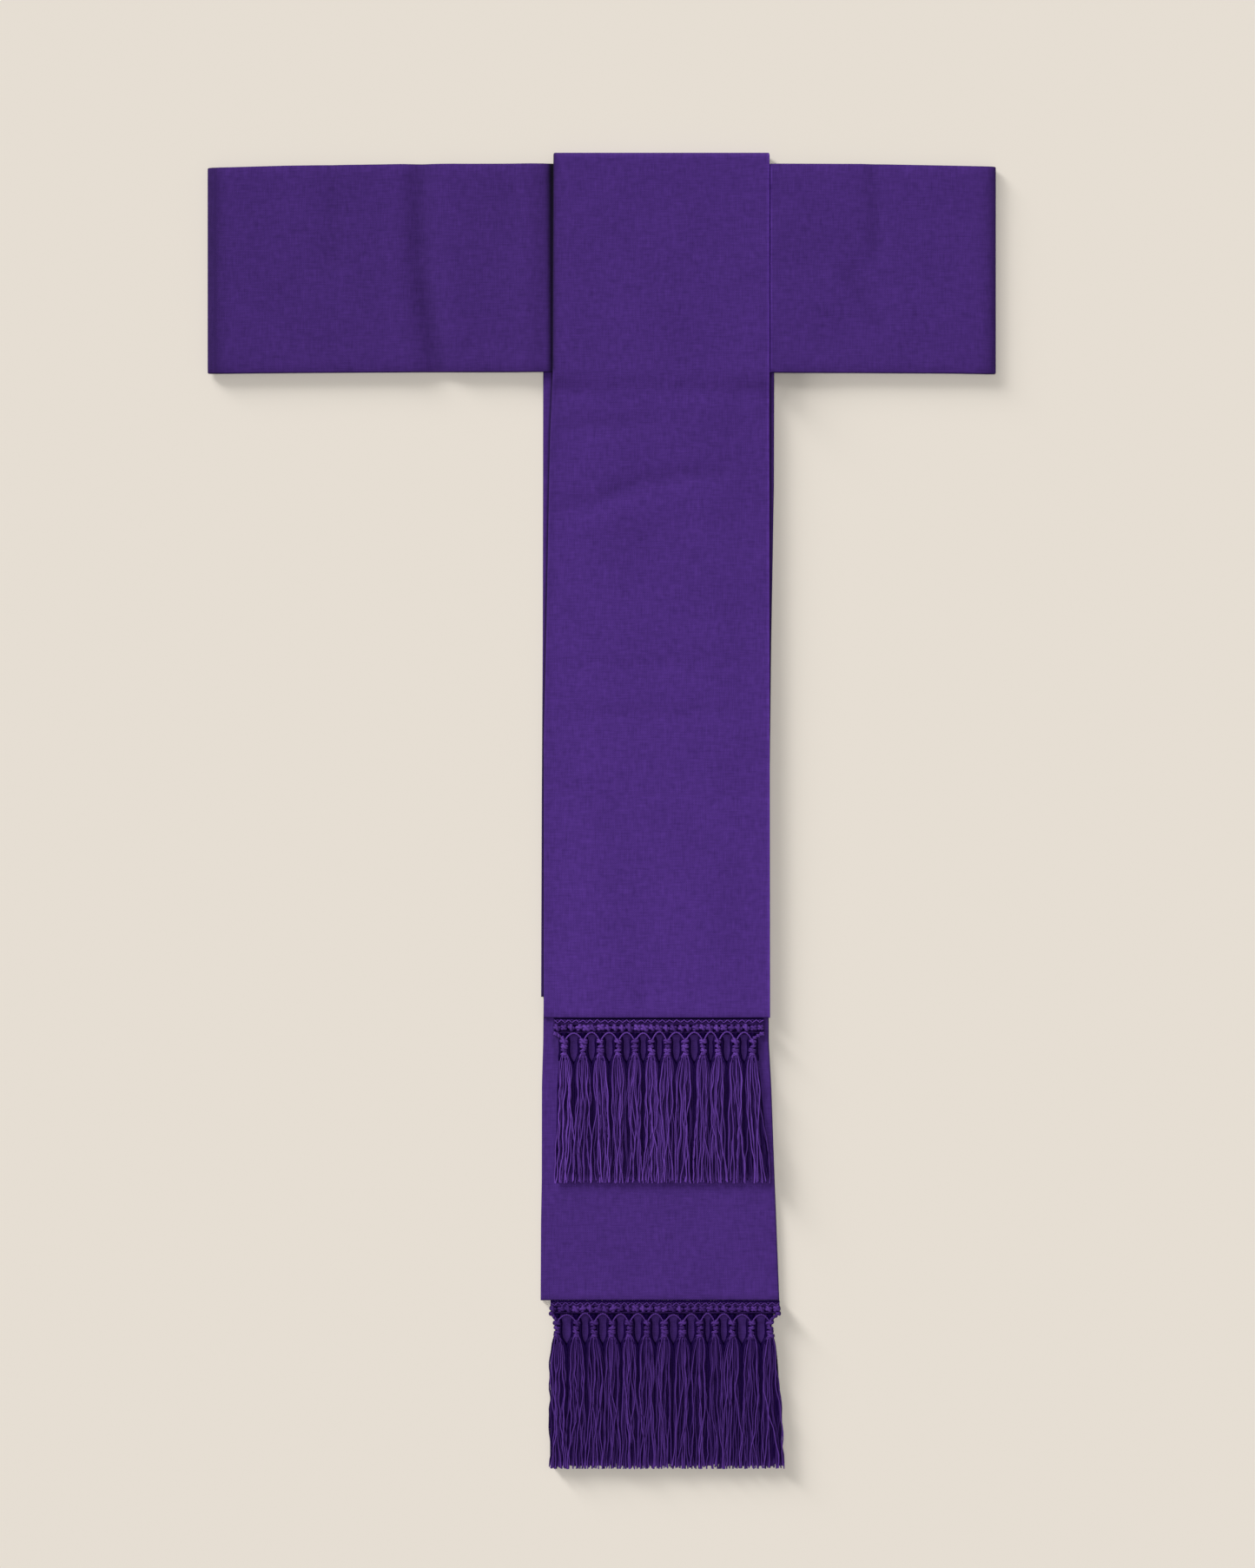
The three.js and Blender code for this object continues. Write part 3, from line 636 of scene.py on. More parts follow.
def hem_lift(x, left, right):
    """Extra height of the turned hem along both long edges."""
    inside = min(x - left, right - x)
    inner, outer = HEM_ALLOWANCE + HEM_STEP_WIDTH["inner"], HEM_ALLOWANCE + HEM_STEP_WIDTH["outer"]
    return HEM_STEP * (1 - smooth(inside, inner, outer))


def front_fall_height(x, y, hem_started):
    """Height of the fall's middle surface, on the band, over its edge and on the back fall."""
    left = edge_place(FRONT_FALL_EDGES, y, 0)
    right = edge_place(FRONT_FALL_EDGES, y, 1)
    dropped = 1 - smooth(y, DROP_END, DROP_START)
    level = mix(FALL_LEVEL_ON_BAND, FALL_LEVEL_ON_BACK, dropped)
    inside = min(x - left, right - x)
    puff = FALL_PUFF * smooth(inside, 0, FALL_PUFF_MARGIN) * dropped
    fade = smooth(inside, FALL_CREASE_FADE["start"], FALL_CREASE_FADE["end"])
    lift = max(0.0, puff - crease_depth(FALL_CREASES, x, y) * fade)
    lift += hem_lift(x, left, right) * hem_started
    return level + lift + FALL_CLOTH / 2


def front_fall_shade(point):
    """Painted light and shade of the front fall: lighter towards the hem, painted shade in its creases, and
    painted lines at its edges.
    """
    tone = table_value(FALL_SHADE, "y", "shade", point.y)
    # Painted shade in the creases
    tone -= CREASE_SHADE * crease_depth(FALL_CREASES, point.x, point.y)
    left, right = (edge_place(FRONT_FALL_EDGES, point.y, share) for share in (0, 1))
    # Painted shade and light along the fall's edges and hem
    tone += near_edge(point.x - left, **FALL_PAINTED_LINES["left"])
    if point.y > band_edge(point.x, 0):
        tone += near_edge(point.x - left, **FALL_PAINTED_LINES["left_on_band"])
    tone += near_edge(right - HEM_ALLOWANCE / 2 - point.x, **FALL_PAINTED_LINES["right_hem"])
    tone += near_edge(right - point.x, **FALL_PAINTED_LINES["right"])
    return tone + near_edge(point.y - FALL_HEM, **FALL_PAINTED_LINES["lower_hem"])


def front_fall(material):
    """Front fall from its seam behind, over the band's top edge and down to the hem."""
    outer = (FALL_LEVEL_ON_BAND + FALL_CLOTH) / 2
    reach = outer - FALL_CLOTH / 2
    turn_length = math.pi * reach
    length = turn_length + (FALL_TOP - outer) - FALL_HEM

    def surface(u, v):
        """Middle point u across and v along the cut, from the seam behind to the hem."""
        share = u / FALL_WIDTH
        if v < turn_length:
            turn = -math.pi / 2 + v / reach
            y = FALL_TOP - outer + reach * math.cos(turn)
            return Vector((edge_place(FRONT_FALL_EDGES, y, share), y, outer + reach * math.sin(turn)))
        y = FALL_TOP - outer - (v - turn_length)
        x = edge_place(FRONT_FALL_EDGES, y, share)
        hem_started = smooth(v, turn_length, turn_length + HEM_STARTS_OVER)
        return Vector((x, y, front_fall_height(x, y, hem_started)))

    across = stations(FALL_WIDTH, CLOTH_STEP, FALL_CLOTH / 2, FALL_BORDER)
    plain = stations(length, CLOTH_STEP, FALL_CLOTH / 2)
    over_fold = [(turn_length * i / FALL_TURN_STEPS, 1.0) for i in range(1, FALL_TURN_STEPS + 1)]
    rim = len(RIM_ANGLES) - 1
    along = plain[:rim] + [row for row in over_fold if row[0] > FALL_CLOTH / 2]
    along += [row for row in plain[rim:] if row[0] > turn_length + 1]
    shell = cloth_shell("front_fall_cloth", surface, across, along, FALL_CLOTH, material, front_fall_shade)
    return shell, FALL_WIDTH, length


def back_fall_shade(point, edges, bottom):
    """Painted shade of a length of the back fall: its edges, the shadow beside and below the front fall, and
    behind the front fringe's necks.
    """
    left, right = (edge_place(edges, point.y, share) for share in (0, 1))
    # Painted shade along the sides and the lower end
    tone = BACK_SHADE + near_edge(min(point.x - left, right - point.x), **BACK_PAINTED_SHADE_LINES["sides"])
    tone += near_edge(point.y - bottom, **BACK_PAINTED_SHADE_LINES["lower_end"])
    if point.y > FALL_HEM:
        for share in (0, 1):
            beside = point.x - edge_place(FRONT_FALL_EDGES, point.y, share)
            tone += near_edge(beside, **BACK_PAINTED_SHADE_LINES["beside_front_fall"])
        return tone
    tone += near_edge(point.y - FALL_HEM, **BACK_PAINTED_SHADE_LINES["below_front_fall"])
    fringe = FRINGES[0]
    # Painted shadow of the front fringe's necks and heading on the cloth behind them
    if fringe["left"] < point.x < fringe["right"]:
        down = fringe["neck_top"] - point.y
        tone += NECK_SHADE * (1 - smooth(down, NECK_SHADE_END["start"], NECK_SHADE_END["end"]))
    return tone


def back_fall(name, edges, material):
    """One length of the back fall, with its flat width and length."""
    top = max(row["y"] for row in edges)
    bottom = min(row["y"] for row in edges)
    width = edge_place(edges, bottom, 1) - edge_place(edges, bottom, 0)
    length = top - bottom

    def surface(u, v):
        """Middle point u across and v down from the upper end."""
        y = top - v
        return Vector((edge_place(edges, y, u / width), y, FALL_CLOTH / 2))

    across = stations(width, CLOTH_STEP, FALL_CLOTH / 2, FALL_BORDER)
    along = stations(length, CLOTH_STEP, FALL_CLOTH / 2)
    shell = cloth_shell(name, surface, across, along, FALL_CLOTH, material,
                        lambda point: back_fall_shade(point, edges, bottom))
    press_back_creases(shell, edges)
    return shell, width, length


def press_back_creases(shell, edges):
    """Faint creases pressed into the upper side of a length of the back fall."""
    for vertex in shell.data.vertices:
        x, y, z = vertex.co / MM
        if z > FALL_CLOTH / 2:
            left, right = edge_place(edges, y, 0), edge_place(edges, y, 1)
            inside = smooth(min(x - left, right - x), 0, BACK_CREASE_FADE)
            vertex.co.z -= crease_depth(BACK_CREASES, x, y) * inside * MM


def fringe_tape(material):
    """Narrow tape behind the necks of the back fringe."""
    width = TAPE["right"] - TAPE["left"]
    length = TAPE["top"] - TAPE["bottom"]

    def surface(u, v):
        """Middle point u across and v down from the upper edge."""
        return Vector((TAPE["left"] + u, TAPE["top"] - v, TAPE_CLOTH / 2))

    across = stations(width, CLOTH_STEP, TAPE_CLOTH / 2)
    along = stations(length, CLOTH_STEP, TAPE_CLOTH / 2)
    # The whole tape painted darker: painted shadow of the necks and heading above it
    shell = cloth_shell("back_fringe_tape_cloth", surface, across, along, TAPE_CLOTH, material,
                        lambda point: NECK_SHADE)
    return shell, width, length


# Yarn made by Geometry Nodes

def add_socket(tree, name, kind, way="INPUT"):
    """Named input or output of a node group."""
    tree.interface.new_socket(name, in_out=way, socket_type=kind)


def set_inputs(tree, node, inputs):
    """Each named input of a node linked to a socket or set to a value."""
    for name, value in inputs.items():
        if isinstance(value, bpy.types.NodeSocket):
            tree.links.new(value, node.inputs[name])
        else:
            node.inputs[name].default_value = value


def add_node(tree, kind, inputs=None, **settings):
    """Node of a kind, with its settings and then its inputs."""
    node = tree.nodes.new(kind)
    for name, value in settings.items():
        setattr(node, name, value)
    set_inputs(tree, node, inputs or {})
    return node


def math_node(tree, operation, a, b=None):
    """Math node with each input a socket or a number; gives its result."""
    inputs = {0: a} if b is None else {0: a, 1: b}
    return add_node(tree, "ShaderNodeMath", inputs, operation=operation).outputs[0]


def vector_node(tree, operation, a, b=None, scale=None):
    """Vector Math node; gives its result."""
    inputs = {name: socket for name, socket in ((0, a), (1, b), ("Scale", scale)) if socket is not None}
    return add_node(tree, "ShaderNodeVectorMath", inputs, operation=operation).outputs[0]


def named(tree, name):
    """Named float attribute."""
    node = add_node(tree, "GeometryNodeInputNamedAttribute", {"Name": name}, data_type="FLOAT")
    return node.outputs["Attribute"]


def plied_yarn_tree():
    """Tree that lays twisted plies of yarn along every path of the mesh that it is given."""
    tree = bpy.data.node_groups.new("Plied yarn along paths", "GeometryNodeTree")
    add_socket(tree, "Paths", "NodeSocketGeometry")
    add_socket(tree, "Plies", "NodeSocketInt")
    add_socket(tree, "Ply radius", "NodeSocketFloat")
    add_socket(tree, "Twist radius", "NodeSocketFloat")
    add_socket(tree, "Twist pitch", "NodeSocketFloat")
    add_socket(tree, "Sides", "NodeSocketInt")
    add_socket(tree, "Material", "NodeSocketMaterial")
    add_socket(tree, "Yarn", "NodeSocketGeometry", way="OUTPUT")
    given = add_node(tree, "NodeGroupInput").outputs
    curve = add_node(tree, "GeometryNodeMeshToCurve", {"Mesh": given["Paths"]})
    plies = add_node(tree, "GeometryNodeDuplicateElements",
                     {"Geometry": curve.outputs["Curve"], "Amount": given["Plies"]}, domain="SPLINE")
    width = named(tree, "width")
    offset = twist_offset(tree, given, plies.outputs["Duplicate Index"], width)
    moved = add_node(tree, "GeometryNodeSetPosition",
                     {"Geometry": plies.outputs["Geometry"], "Offset": offset})
    profile = add_node(tree, "GeometryNodeCurvePrimitiveCircle",
                       {"Resolution": given["Sides"], "Radius": given["Ply radius"]})
    tube = add_node(tree, "GeometryNodeCurveToMesh", {
        "Curve": moved.outputs["Geometry"], "Scale": width,
        "Profile Curve": profile.outputs["Curve"], "Fill Caps": True,
    })
    finish_tree(tree, tube.outputs["Mesh"], given["Material"], "Yarn")
    return tree


def twist_offset(tree, given, ply, width):
    """Offset that turns each ply round the middle of its path."""
    place = add_node(tree, "GeometryNodeSplineParameter")
    turns = math_node(tree, "DIVIDE", place.outputs["Length"], given["Twist pitch"])
    share = math_node(tree, "DIVIDE", ply, given["Plies"])
    angle = math_node(tree, "MULTIPLY", math_node(tree, "ADD", turns, share), 2 * math.pi)
    normal = add_node(tree, "GeometryNodeInputNormal").outputs["Normal"]
    tangent = add_node(tree, "GeometryNodeInputTangent").outputs["Tangent"]
    sideways = vector_node(tree, "CROSS_PRODUCT", tangent, normal)
    twist = math_node(tree, "MULTIPLY", given["Twist radius"], width)
    out_normal = math_node(tree, "MULTIPLY", math_node(tree, "COSINE", angle), twist)
    out_side = math_node(tree, "MULTIPLY", math_node(tree, "SINE", angle), twist)
    return vector_node(tree, "ADD", vector_node(tree, "SCALE", normal, scale=out_normal),
                       vector_node(tree, "SCALE", sideways, scale=out_side))


def knots_tree():
    """Tree that ties a knot at every point of the mesh that it is given."""
    tree = bpy.data.node_groups.new("Knots on points", "GeometryNodeTree")
    add_socket(tree, "Points", "NodeSocketGeometry")
    add_socket(tree, "Knot", "NodeSocketObject")
    add_socket(tree, "Material", "NodeSocketMaterial")
    add_socket(tree, "Knots", "NodeSocketGeometry", way="OUTPUT")
    given = add_node(tree, "NodeGroupInput").outputs
    knot = add_node(tree, "GeometryNodeObjectInfo", {"Object": given["Knot"]})
    size = add_node(tree, "ShaderNodeCombineXYZ", {
        "X": named(tree, "size_x"), "Y": named(tree, "size_y"), "Z": named(tree, "size_z"),
    })
    turn = add_node(tree, "ShaderNodeCombineXYZ", {"Z": named(tree, "turn")})
    spread = add_node(tree, "GeometryNodeInstanceOnPoints", {
        "Points": given["Points"], "Instance": knot.outputs["Geometry"],
        "Rotation": turn.outputs["Vector"], "Scale": size.outputs["Vector"],
    })
    real = add_node(tree, "GeometryNodeRealizeInstances", {"Geometry": spread.outputs["Instances"]})
    tone = math_node(tree, "MULTIPLY", named(tree, "tone"), named(tree, "lightness"))
    shaded = add_node(tree, "GeometryNodeStoreNamedAttribute",
                      {"Geometry": real.outputs["Geometry"], "Name": "tone", "Value": tone},
                      data_type="FLOAT", domain="POINT")
    finish_tree(tree, shaded.outputs["Geometry"], given["Material"], "Knots")
    return tree


def finish_tree(tree, geometry, material, output):
    """End of a tree: instances realized, smooth shading, the yarn's material."""
    real = add_node(tree, "GeometryNodeRealizeInstances", {"Geometry": geometry})
    shade = add_node(tree, "GeometryNodeSetShadeSmooth", {"Geometry": real.outputs["Geometry"]})
    finish = add_node(tree, "GeometryNodeSetMaterial",
                      {"Geometry": shade.outputs["Geometry"], "Material": material})
    add_node(tree, "NodeGroupOutput", {output: finish.outputs["Geometry"]})


def grown(name, source, tree, **values):
    """Plain mesh object that a tree makes from a source mesh, the source then removed."""
    start = bpy.data.objects.new(name + "_source", source)
    bpy.context.scene.collection.objects.link(start)
    modifier = start.modifiers.new("yarn", "NODES")
    modifier.node_group = tree
    for item in tree.interface.items_tree:
        if item.in_out == "INPUT" and item.name in values:
            modifier[item.identifier] = values[item.name]
    ready = start.evaluated_get(bpy.context.evaluated_depsgraph_get())
    mesh = bpy.data.meshes.new_from_object(ready)
    bpy.data.objects.remove(start)
    mesh.name = name
    piece = bpy.data.objects.new(name, mesh)
    bpy.context.scene.collection.objects.link(piece)
    return piece


def path_mesh(name, paths):
    """Mesh of open or closed paths with a width and a tone at each point."""
    points, edges, widths, tones = [], [], [], []
    for path in paths:
        first = len(points)
        count = len(path["points"])
        points += [Vector(p) * MM for p in path["points"]]
        widths += path.get("widths", [1.0] * count)
        tones += path["tones"] if "tones" in path else [path["tone"]] * count
        edges += [(first + i, first + i + 1) for i in range(count - 1)]
        if path.get("closed"):
            edges.append((first + count - 1, first))
    mesh = bpy.data.meshes.new(name)
    mesh.from_pydata(points, edges, [])
    for label, values in (("width", widths), ("tone", tones)):
        mesh.attributes.new(label, "FLOAT", "POINT").data.foreach_set("value", values)
    return mesh


def point_mesh(name, rows):
    """Mesh of single points, each with its knot's sizes, turn and lightness."""
    mesh = bpy.data.meshes.new(name)
    mesh.from_pydata([Vector(row["at"]) * MM for row in rows], [], [])
    for label in ("size_x", "size_y", "size_z", "turn", "lightness"):
        values = [row[label] for row in rows]
        mesh.attributes.new(label, "FLOAT", "POINT").data.foreach_set("value", values)
    return mesh


def yarns(name, paths, material, radius, plies=1, twist=0.0, pitch=3.0, sides=6):
    """Yarn piece along paths, with its sizes in millimetres."""
    return grown(name, path_mesh(name + "_paths", paths), yarn_tree, **{
        "Plies": plies, "Ply radius": radius * MM, "Twist radius": twist * MM,
        "Twist pitch": pitch * MM, "Sides": sides, "Material": material,
    })


def joined(name, pieces):
    """One mesh object from several."""
    target = pieces[0]
    with bpy.context.temp_override(active_object=target, selected_editable_objects=pieces,
                                   selected_objects=pieces, object=target):
        bpy.ops.object.join()
    target.name = name
    target.data.name = name
    return target


# Fringe

def knot_model(material):
    """Tied knot about one unit in half width: two turns that cross on top and pass underneath."""
    form = KNOT_FORM
    angles = [2 * math.pi * i / form["steps"] for i in range(form["steps"])]
    # Painted light and shade: each turn lighter where it lies on top, darker where it passes underneath
    raised = [smooth(math.sin(t), *KNOT_PAINTED_LIGHT_AND_SHADE["over"]) for t in angles]
    tones = [mix(KNOT_PAINTED_LIGHT_AND_SHADE["end"], KNOT_PAINTED_LIGHT_AND_SHADE["crest"], share) for share in raised]
    turns = []
    for width, height in ((form["width"], form["first"]), (-form["width"], form["second"])):
        points = [(form["length"] * math.cos(t), width * math.sin(2 * t), height * math.sin(t))
                  for t in angles]
        turns.append({"points": points, "tones": tones, "closed": True})
    return yarns("knot_model", turns, material, form["cord"], sides=7)


def head_height(fringe):
    """Height of the middle of the tassels' necks."""
    return fringe["base"] + HEAD_LEVEL


def skirt_yarns(fringe):
    """Loose yarns of every tassel, in locks that fan from its neck to uneven tips."""
    rng = random.Random(fringe["seed"])
    necks = fringe["necks"]
    paths = []
    for index, neck in enumerate(necks):
        left = fringe["skirt_left"] if index == 0 else (necks[index - 1] + neck) / 2
        right = fringe["skirt_right"] if index == len(necks) - 1 else (necks[index + 1] + neck) / 2
        bounds = {"neck": neck, "left": left - neck, "right": right - neck,
                  "first": index == 0, "last": index == len(necks) - 1,
                  "bell_left": -OUTER_BELL["left"] if index == 0 else left - neck,
                  "bell_right": OUTER_BELL["right"] if index == len(necks) - 1 else right - neck,
                  "fullness": rng.uniform(*TASSEL["fullness"]), "lean": rng.uniform(*TASSEL["lean"]),
                  "light": fringe["light"] * rng.uniform(*TASSEL["light"])}
        for layer in YARN_LAYERS:
            locks = [{"centre": (i + 0.5) / layer["locks"], "size": rng.uniform(*LOCK["size"]),
                      "length": rng.uniform(*LOCK["length"]), "phase": rng.uniform(*PHASE),
                      "rise": rng.uniform(*LOCK["rise"])} for i in range(layer["locks"])]
            for i in range(layer["count"]):
                share = (i + 0.5 + rng.uniform(*YARN_PLACE)) / layer["count"]
                if layer["name"] == "under":
                    share = i / (layer["count"] - 1)
                lock = locks[min(layer["locks"] - 1, int(share * layer["locks"]))]
                paths.append(skirt_yarn(fringe, bounds, layer, lock, share, rng))
    return paths


def wave(row, down):
    """Sideways wave of a lock or of a curl, at a distance down."""
    return row["size"] * math.sin(down * 2 * math.pi / row["length"] + row["phase"])


def yarn_across(bounds, lock, yarn, down, loose):
    """Place of a yarn to the side of its neck, at a distance down."""
    share, under, length = yarn["share"], yarn["under"], yarn["length"]
    middle = loose * (1 - smooth(down, length - GATHERED["ends_above_tip"], length))
    gathered = mix(share, lock["centre"], GATHERED["share"] * middle)
    place = share if under else mix(gathered, yarn["tip_share"], smooth(down, TO_TIP_FROM, length))
    low = mix(bounds["bell_left"], bounds["left"], smooth(down, BELL_FROM["left"], length))
    high = mix(bounds["bell_right"], bounds["right"], smooth(down, BELL_FROM["right"], length))
    spread = table_value(SKIRT_SPREAD, "down", "under" if under else "other", down)
    spread *= mix(1, bounds["fullness"], middle)
    root = (share * 2 - 1) * NECK_CORE_RADIUS
    across = mix(root, mix(low, high, place), spread) + bounds["lean"] * loose * LEAN_SHARE
    across += wave(lock, down) * loose
    across += wave(yarn["curl"], down) * loose
    across = min(max(across, low - PAST_SIDE), high + PAST_SIDE)
    if under:
        reach = table_value(SKIRT_SPREAD, "down", "other", down)
        across = max(across, low * reach + UNDER_INSET) if bounds["first"] else across
        across = min(across, high * reach - UNDER_INSET) if bounds["last"] else across
    return across


def yarn_width(layer, share, down):
    """Thickness of a yarn at a distance down: thin in the neck, swelling with its twist."""
    ply = layer["thick"] * (1 + PLY["swell"] * math.sin(down * PLY["turns"] + share * PLY["differs"]))
    if layer["name"] != "under":
        ply *= mix(YARN_TAPER, 1.0, smooth(down, *SETTLES_OVER))
    return mix(PLY["neck"], ply, smooth(down, *THICKENS_OVER))


def skirt_yarn(fringe, bounds, layer, lock, share, rng):
    """One yarn: tight in the neck, gathered into its lock lower down, with a light loose tip."""
    length = fringe["neck_top"] - fringe["tip"]
    under = layer["name"] == "under"
    end = length - (UNDER_SHORTER if under else 0.0) - rng.uniform(0.0, 1.0) ** 2 * TIP["uneven"]
    start = SKIRT_SPREAD[0]["down"]
    curl = {"size": rng.uniform(*CURL["size"]), "length": rng.uniform(*CURL["length"]),
            "phase": rng.uniform(*PHASE)}
    tip_share = share + rng.gauss(0, TIP["spread"])
    if layer["name"] == "stray":
        tip_share = min(1.0, max(0.0, share + rng.choice((-1, 1)) * rng.uniform(*TIP["stray"])))
    yarn = {"share": share, "tip_share": tip_share, "curl": curl, "under": under, "length": length}
    level = layer["level"] + (0 if under else rng.uniform(*YARN_LEVEL) + lock["rise"])
    root_level = head_height(fringe) + (layer["level"] - ROOT_LEVEL["middle"]) * ROOT_LEVEL["share"]
    # Painted shade: yarns darker towards the tassel's sides and in lower layers
    painted_rounding_shade = mix(1, layer["edge"], (2 * share - 1) ** 2)
    tone = rng.uniform(layer["dark"], layer["light"]) * bounds["light"] * painted_rounding_shade
    points, widths, tones = [], [], []
    for i in range(YARN_STEPS + 1):
        down = mix(start, end, (i / YARN_STEPS) ** STEPS_CROWD)
        loose = 0.0 if under else smooth(down, *LOOSE_OVER)
        x = bounds["neck"] + yarn_across(bounds, lock, yarn, down, loose)
        height = mix(root_level, fringe["skirt_base"] + level, smooth(down, *SETTLES_OVER))
        height += CURL["height"] * math.sin(down * 2 * math.pi / curl["length"] + lock["phase"]) * loose
        points.append((x, fringe["neck_top"] - down, height))
        widths.append(yarn_width(layer, share, down))
        tones.append(tone + TIP["tone"] * smooth(down, end - TIP["lit"], end))
    return {"points": points, "widths": widths, "tones": tones}


def straight_cord(fringe, share, level, tone):
    """Cord along the heading, at a share of its depth from the top."""
    y = mix(fringe["top"], fringe["bottom"], share)
    height = fringe["base"] + SEAM + level
    left, right = fringe["left"] + CORD_INSET, fringe["right"] - CORD_INSET
    points = [(mix(left, right, i / CORD_STEPS), y, height) for i in range(CORD_STEPS + 1)]
    return {"points": points, "tone": tone}


def heading_chain(fringe, rng):
    """Looped chain along the top of the heading: two cords that cross between the knots."""
    left, right = fringe["left"] + CHAIN["inset"], fringe["right"] - CHAIN["inset"]
    pitch = (right - left) / fringe["knots"]
    chain = []
    for side in (1, -1):
        points = []
        for i in range(fringe["knots"] * CHAIN_STEPS + 1):
            x = left + pitch * i / CHAIN_STEPS
            turn = 2 * math.pi * (x - left) / pitch
            y = fringe["top"] - CHAIN["down"] + side * CHAIN["loop"] * math.cos(turn)
            y += rng.uniform(-CHAIN["uneven"], CHAIN["uneven"])
            points.append((x, y, fringe["base"] + SEAM + CHAIN["level"] + CHAIN["crossing"] * side))
        chain.append({"points": points, "tone": CHAIN_TONE[side] * fringe["light"]})
    return chain


def heading_arcs(fringe, rng):
    """Cords that arch from each neck to the next, and down from the heading's two ends."""
    necks, bottom, neck_top = fringe["necks"], fringe["bottom"], fringe["neck_top"]
    height = head_height(fringe)
    arcs = []
    for a, b in zip(necks, necks[1:]):
        crown = neck_top + ARC["crown"] + rng.uniform(ARC["lower"], ARC["higher"])
        points = []
        for i in range(ARC_STEPS + 1):
            share = i / ARC_STEPS
            rise = math.sin(math.pi * share) ** ARC_ROUNDNESS
            x = mix(a + ARC["inset"], b - ARC["inset"], share)
            y = mix(neck_top + ARC["foot"], crown, rise)
            points.append((x, y, height + ARC["level"] + ARC["raised"] * rise))
        arcs.append({"points": points, "tone": ARC_TONE * fringe["light"]})
    for end, neck in ((fringe["left"], necks[0]), (fringe["right"], necks[-1])):
        points = []
        for i in range(END_ARC_STEPS + 1):
            share = i / END_ARC_STEPS
            x = mix(mix(end, neck, END_ARC["start"]), neck, share ** ARC_ROUNDNESS)
            y = mix(bottom + END_ARC["above"], neck_top + END_ARC["foot"], share)
            points.append((x, y, height + END_ARC["level"] - END_ARC["sinks"] * share))
        arcs.append({"points": points, "tone": END_ARC["tone"]})
    return arcs


def heading_knots(fringe, rng):
    """Row of knots along the heading."""
    pitch = (fringe["right"] - fringe["left"]) / fringe["knots"]
    rows = []
    for i in range(fringe["knots"]):
        size = rng.uniform(*HEADING_KNOT["size"])
        x = fringe["left"] + pitch * (i + 0.5) + rng.uniform(*KNOT_DRIFT["along"])
        y = mix(fringe["top"], fringe["bottom"], HEADING_KNOT["place"]) + rng.uniform(*KNOT_DRIFT["down"])
        rows.append({
            "at": (x, y, fringe["base"] + SEAM + HEADING_KNOT["level"]),
            "size_x": size * rng.uniform(*HEADING_KNOT["uneven"]), "size_y": size,
            "size_z": HEADING_KNOT["raised"], "turn": rng.uniform(*HEADING_KNOT["turn"]),
            "lightness": rng.uniform(*HEADING_KNOT["light"]) * fringe["light"],
        })
    return rows


def end_knots(fringe, rng):
    """Small knots that lead down from each end of the heading to the outermost neck."""
    left = fringe["left"] + END_KNOT["inset"], fringe["necks"][0]
    right = fringe["right"] - END_KNOT["inset"], fringe["necks"][-1]
    rows = []
    for end, neck in (left, right):
        for row in END_KNOTS:
            x = mix(end, neck, row["place"])
            y = mix(fringe["bottom"] + END_KNOT["above"], fringe["neck_top"], row["place"])
            rows.append({
                "at": (x, y, head_height(fringe)),
                "size_x": row["size"], "size_y": row["size"], "size_z": END_KNOT["raised"],
                "turn": rng.uniform(*END_KNOT["turn"]),
                "lightness": rng.uniform(*END_KNOT["light"]) * fringe["light"],
            })
    return rows


def neck_knots(fringe, rng):
    """Stacked knots of every neck."""
    rows = []
    for neck in fringe["necks"]:
        for row in NECK_KNOTS:
            scale = rng.uniform(*NECK_KNOT["scale"])
            x = neck + rng.uniform(*KNOT_DRIFT["along"])
            rows.append({
                "at": (x, fringe["neck_top"] - row["down"], head_height(fringe)),
                "size_x": row["across"] * scale, "size_y": row["along"] * scale,
                "size_z": NECK_KNOT["raised"] * scale, "turn": rng.uniform(*NECK_KNOT["turn"]),
                "lightness": rng.uniform(*NECK_KNOT["light"]) * fringe["light"],
            })
    return rows


def neck_cores(fringe):
    """Bundle inside each neck, a black cord down each side and a spreading one behind, all dark as painted
    shade round the neck.
    """
    height = head_height(fringe)
    cores = []
    for neck in fringe["necks"]:
        top = fringe["neck_top"] + NECK_CORE["above"]
        points = [(neck, top - i * NECK_CORE["step"], height) for i in range(NECK_CORE["points"])]
        cores.append({"points": points, "tone": NECK_CORE["tone"]})
        for side in (-1, 1):
            outermost = neck == fringe["necks"][0 if side < 0 else -1]
            if outermost and fringe["skirt_base"] == 0.0:
                continue
            # Black side cord, painted shade beside the neck
            points = [(neck + side * row["out"], fringe["neck_top"] - row["down"], height + NECK_SHADE_CORD_LEVEL)
                      for row in NECK_SHADE_CORDS]
            cores.append({"points": points, "widths": [row["width"] for row in NECK_SHADE_CORDS], "tone": 0.0})
        # Black spreading cord behind, painted shade under the neck
        points = [(neck, fringe["neck_top"] - NECK_BACK_SHADE_CORD["above"] + i * NECK_BACK_SHADE_CORD["step"],
                   height + NECK_BACK_SHADE_CORD["level"]) for i in range(len(NECK_BACK_SHADE_CORD["widths"]))]
        cores.append({"points": points, "widths": list(NECK_BACK_SHADE_CORD["widths"]), "tone": 0.0})
    return cores


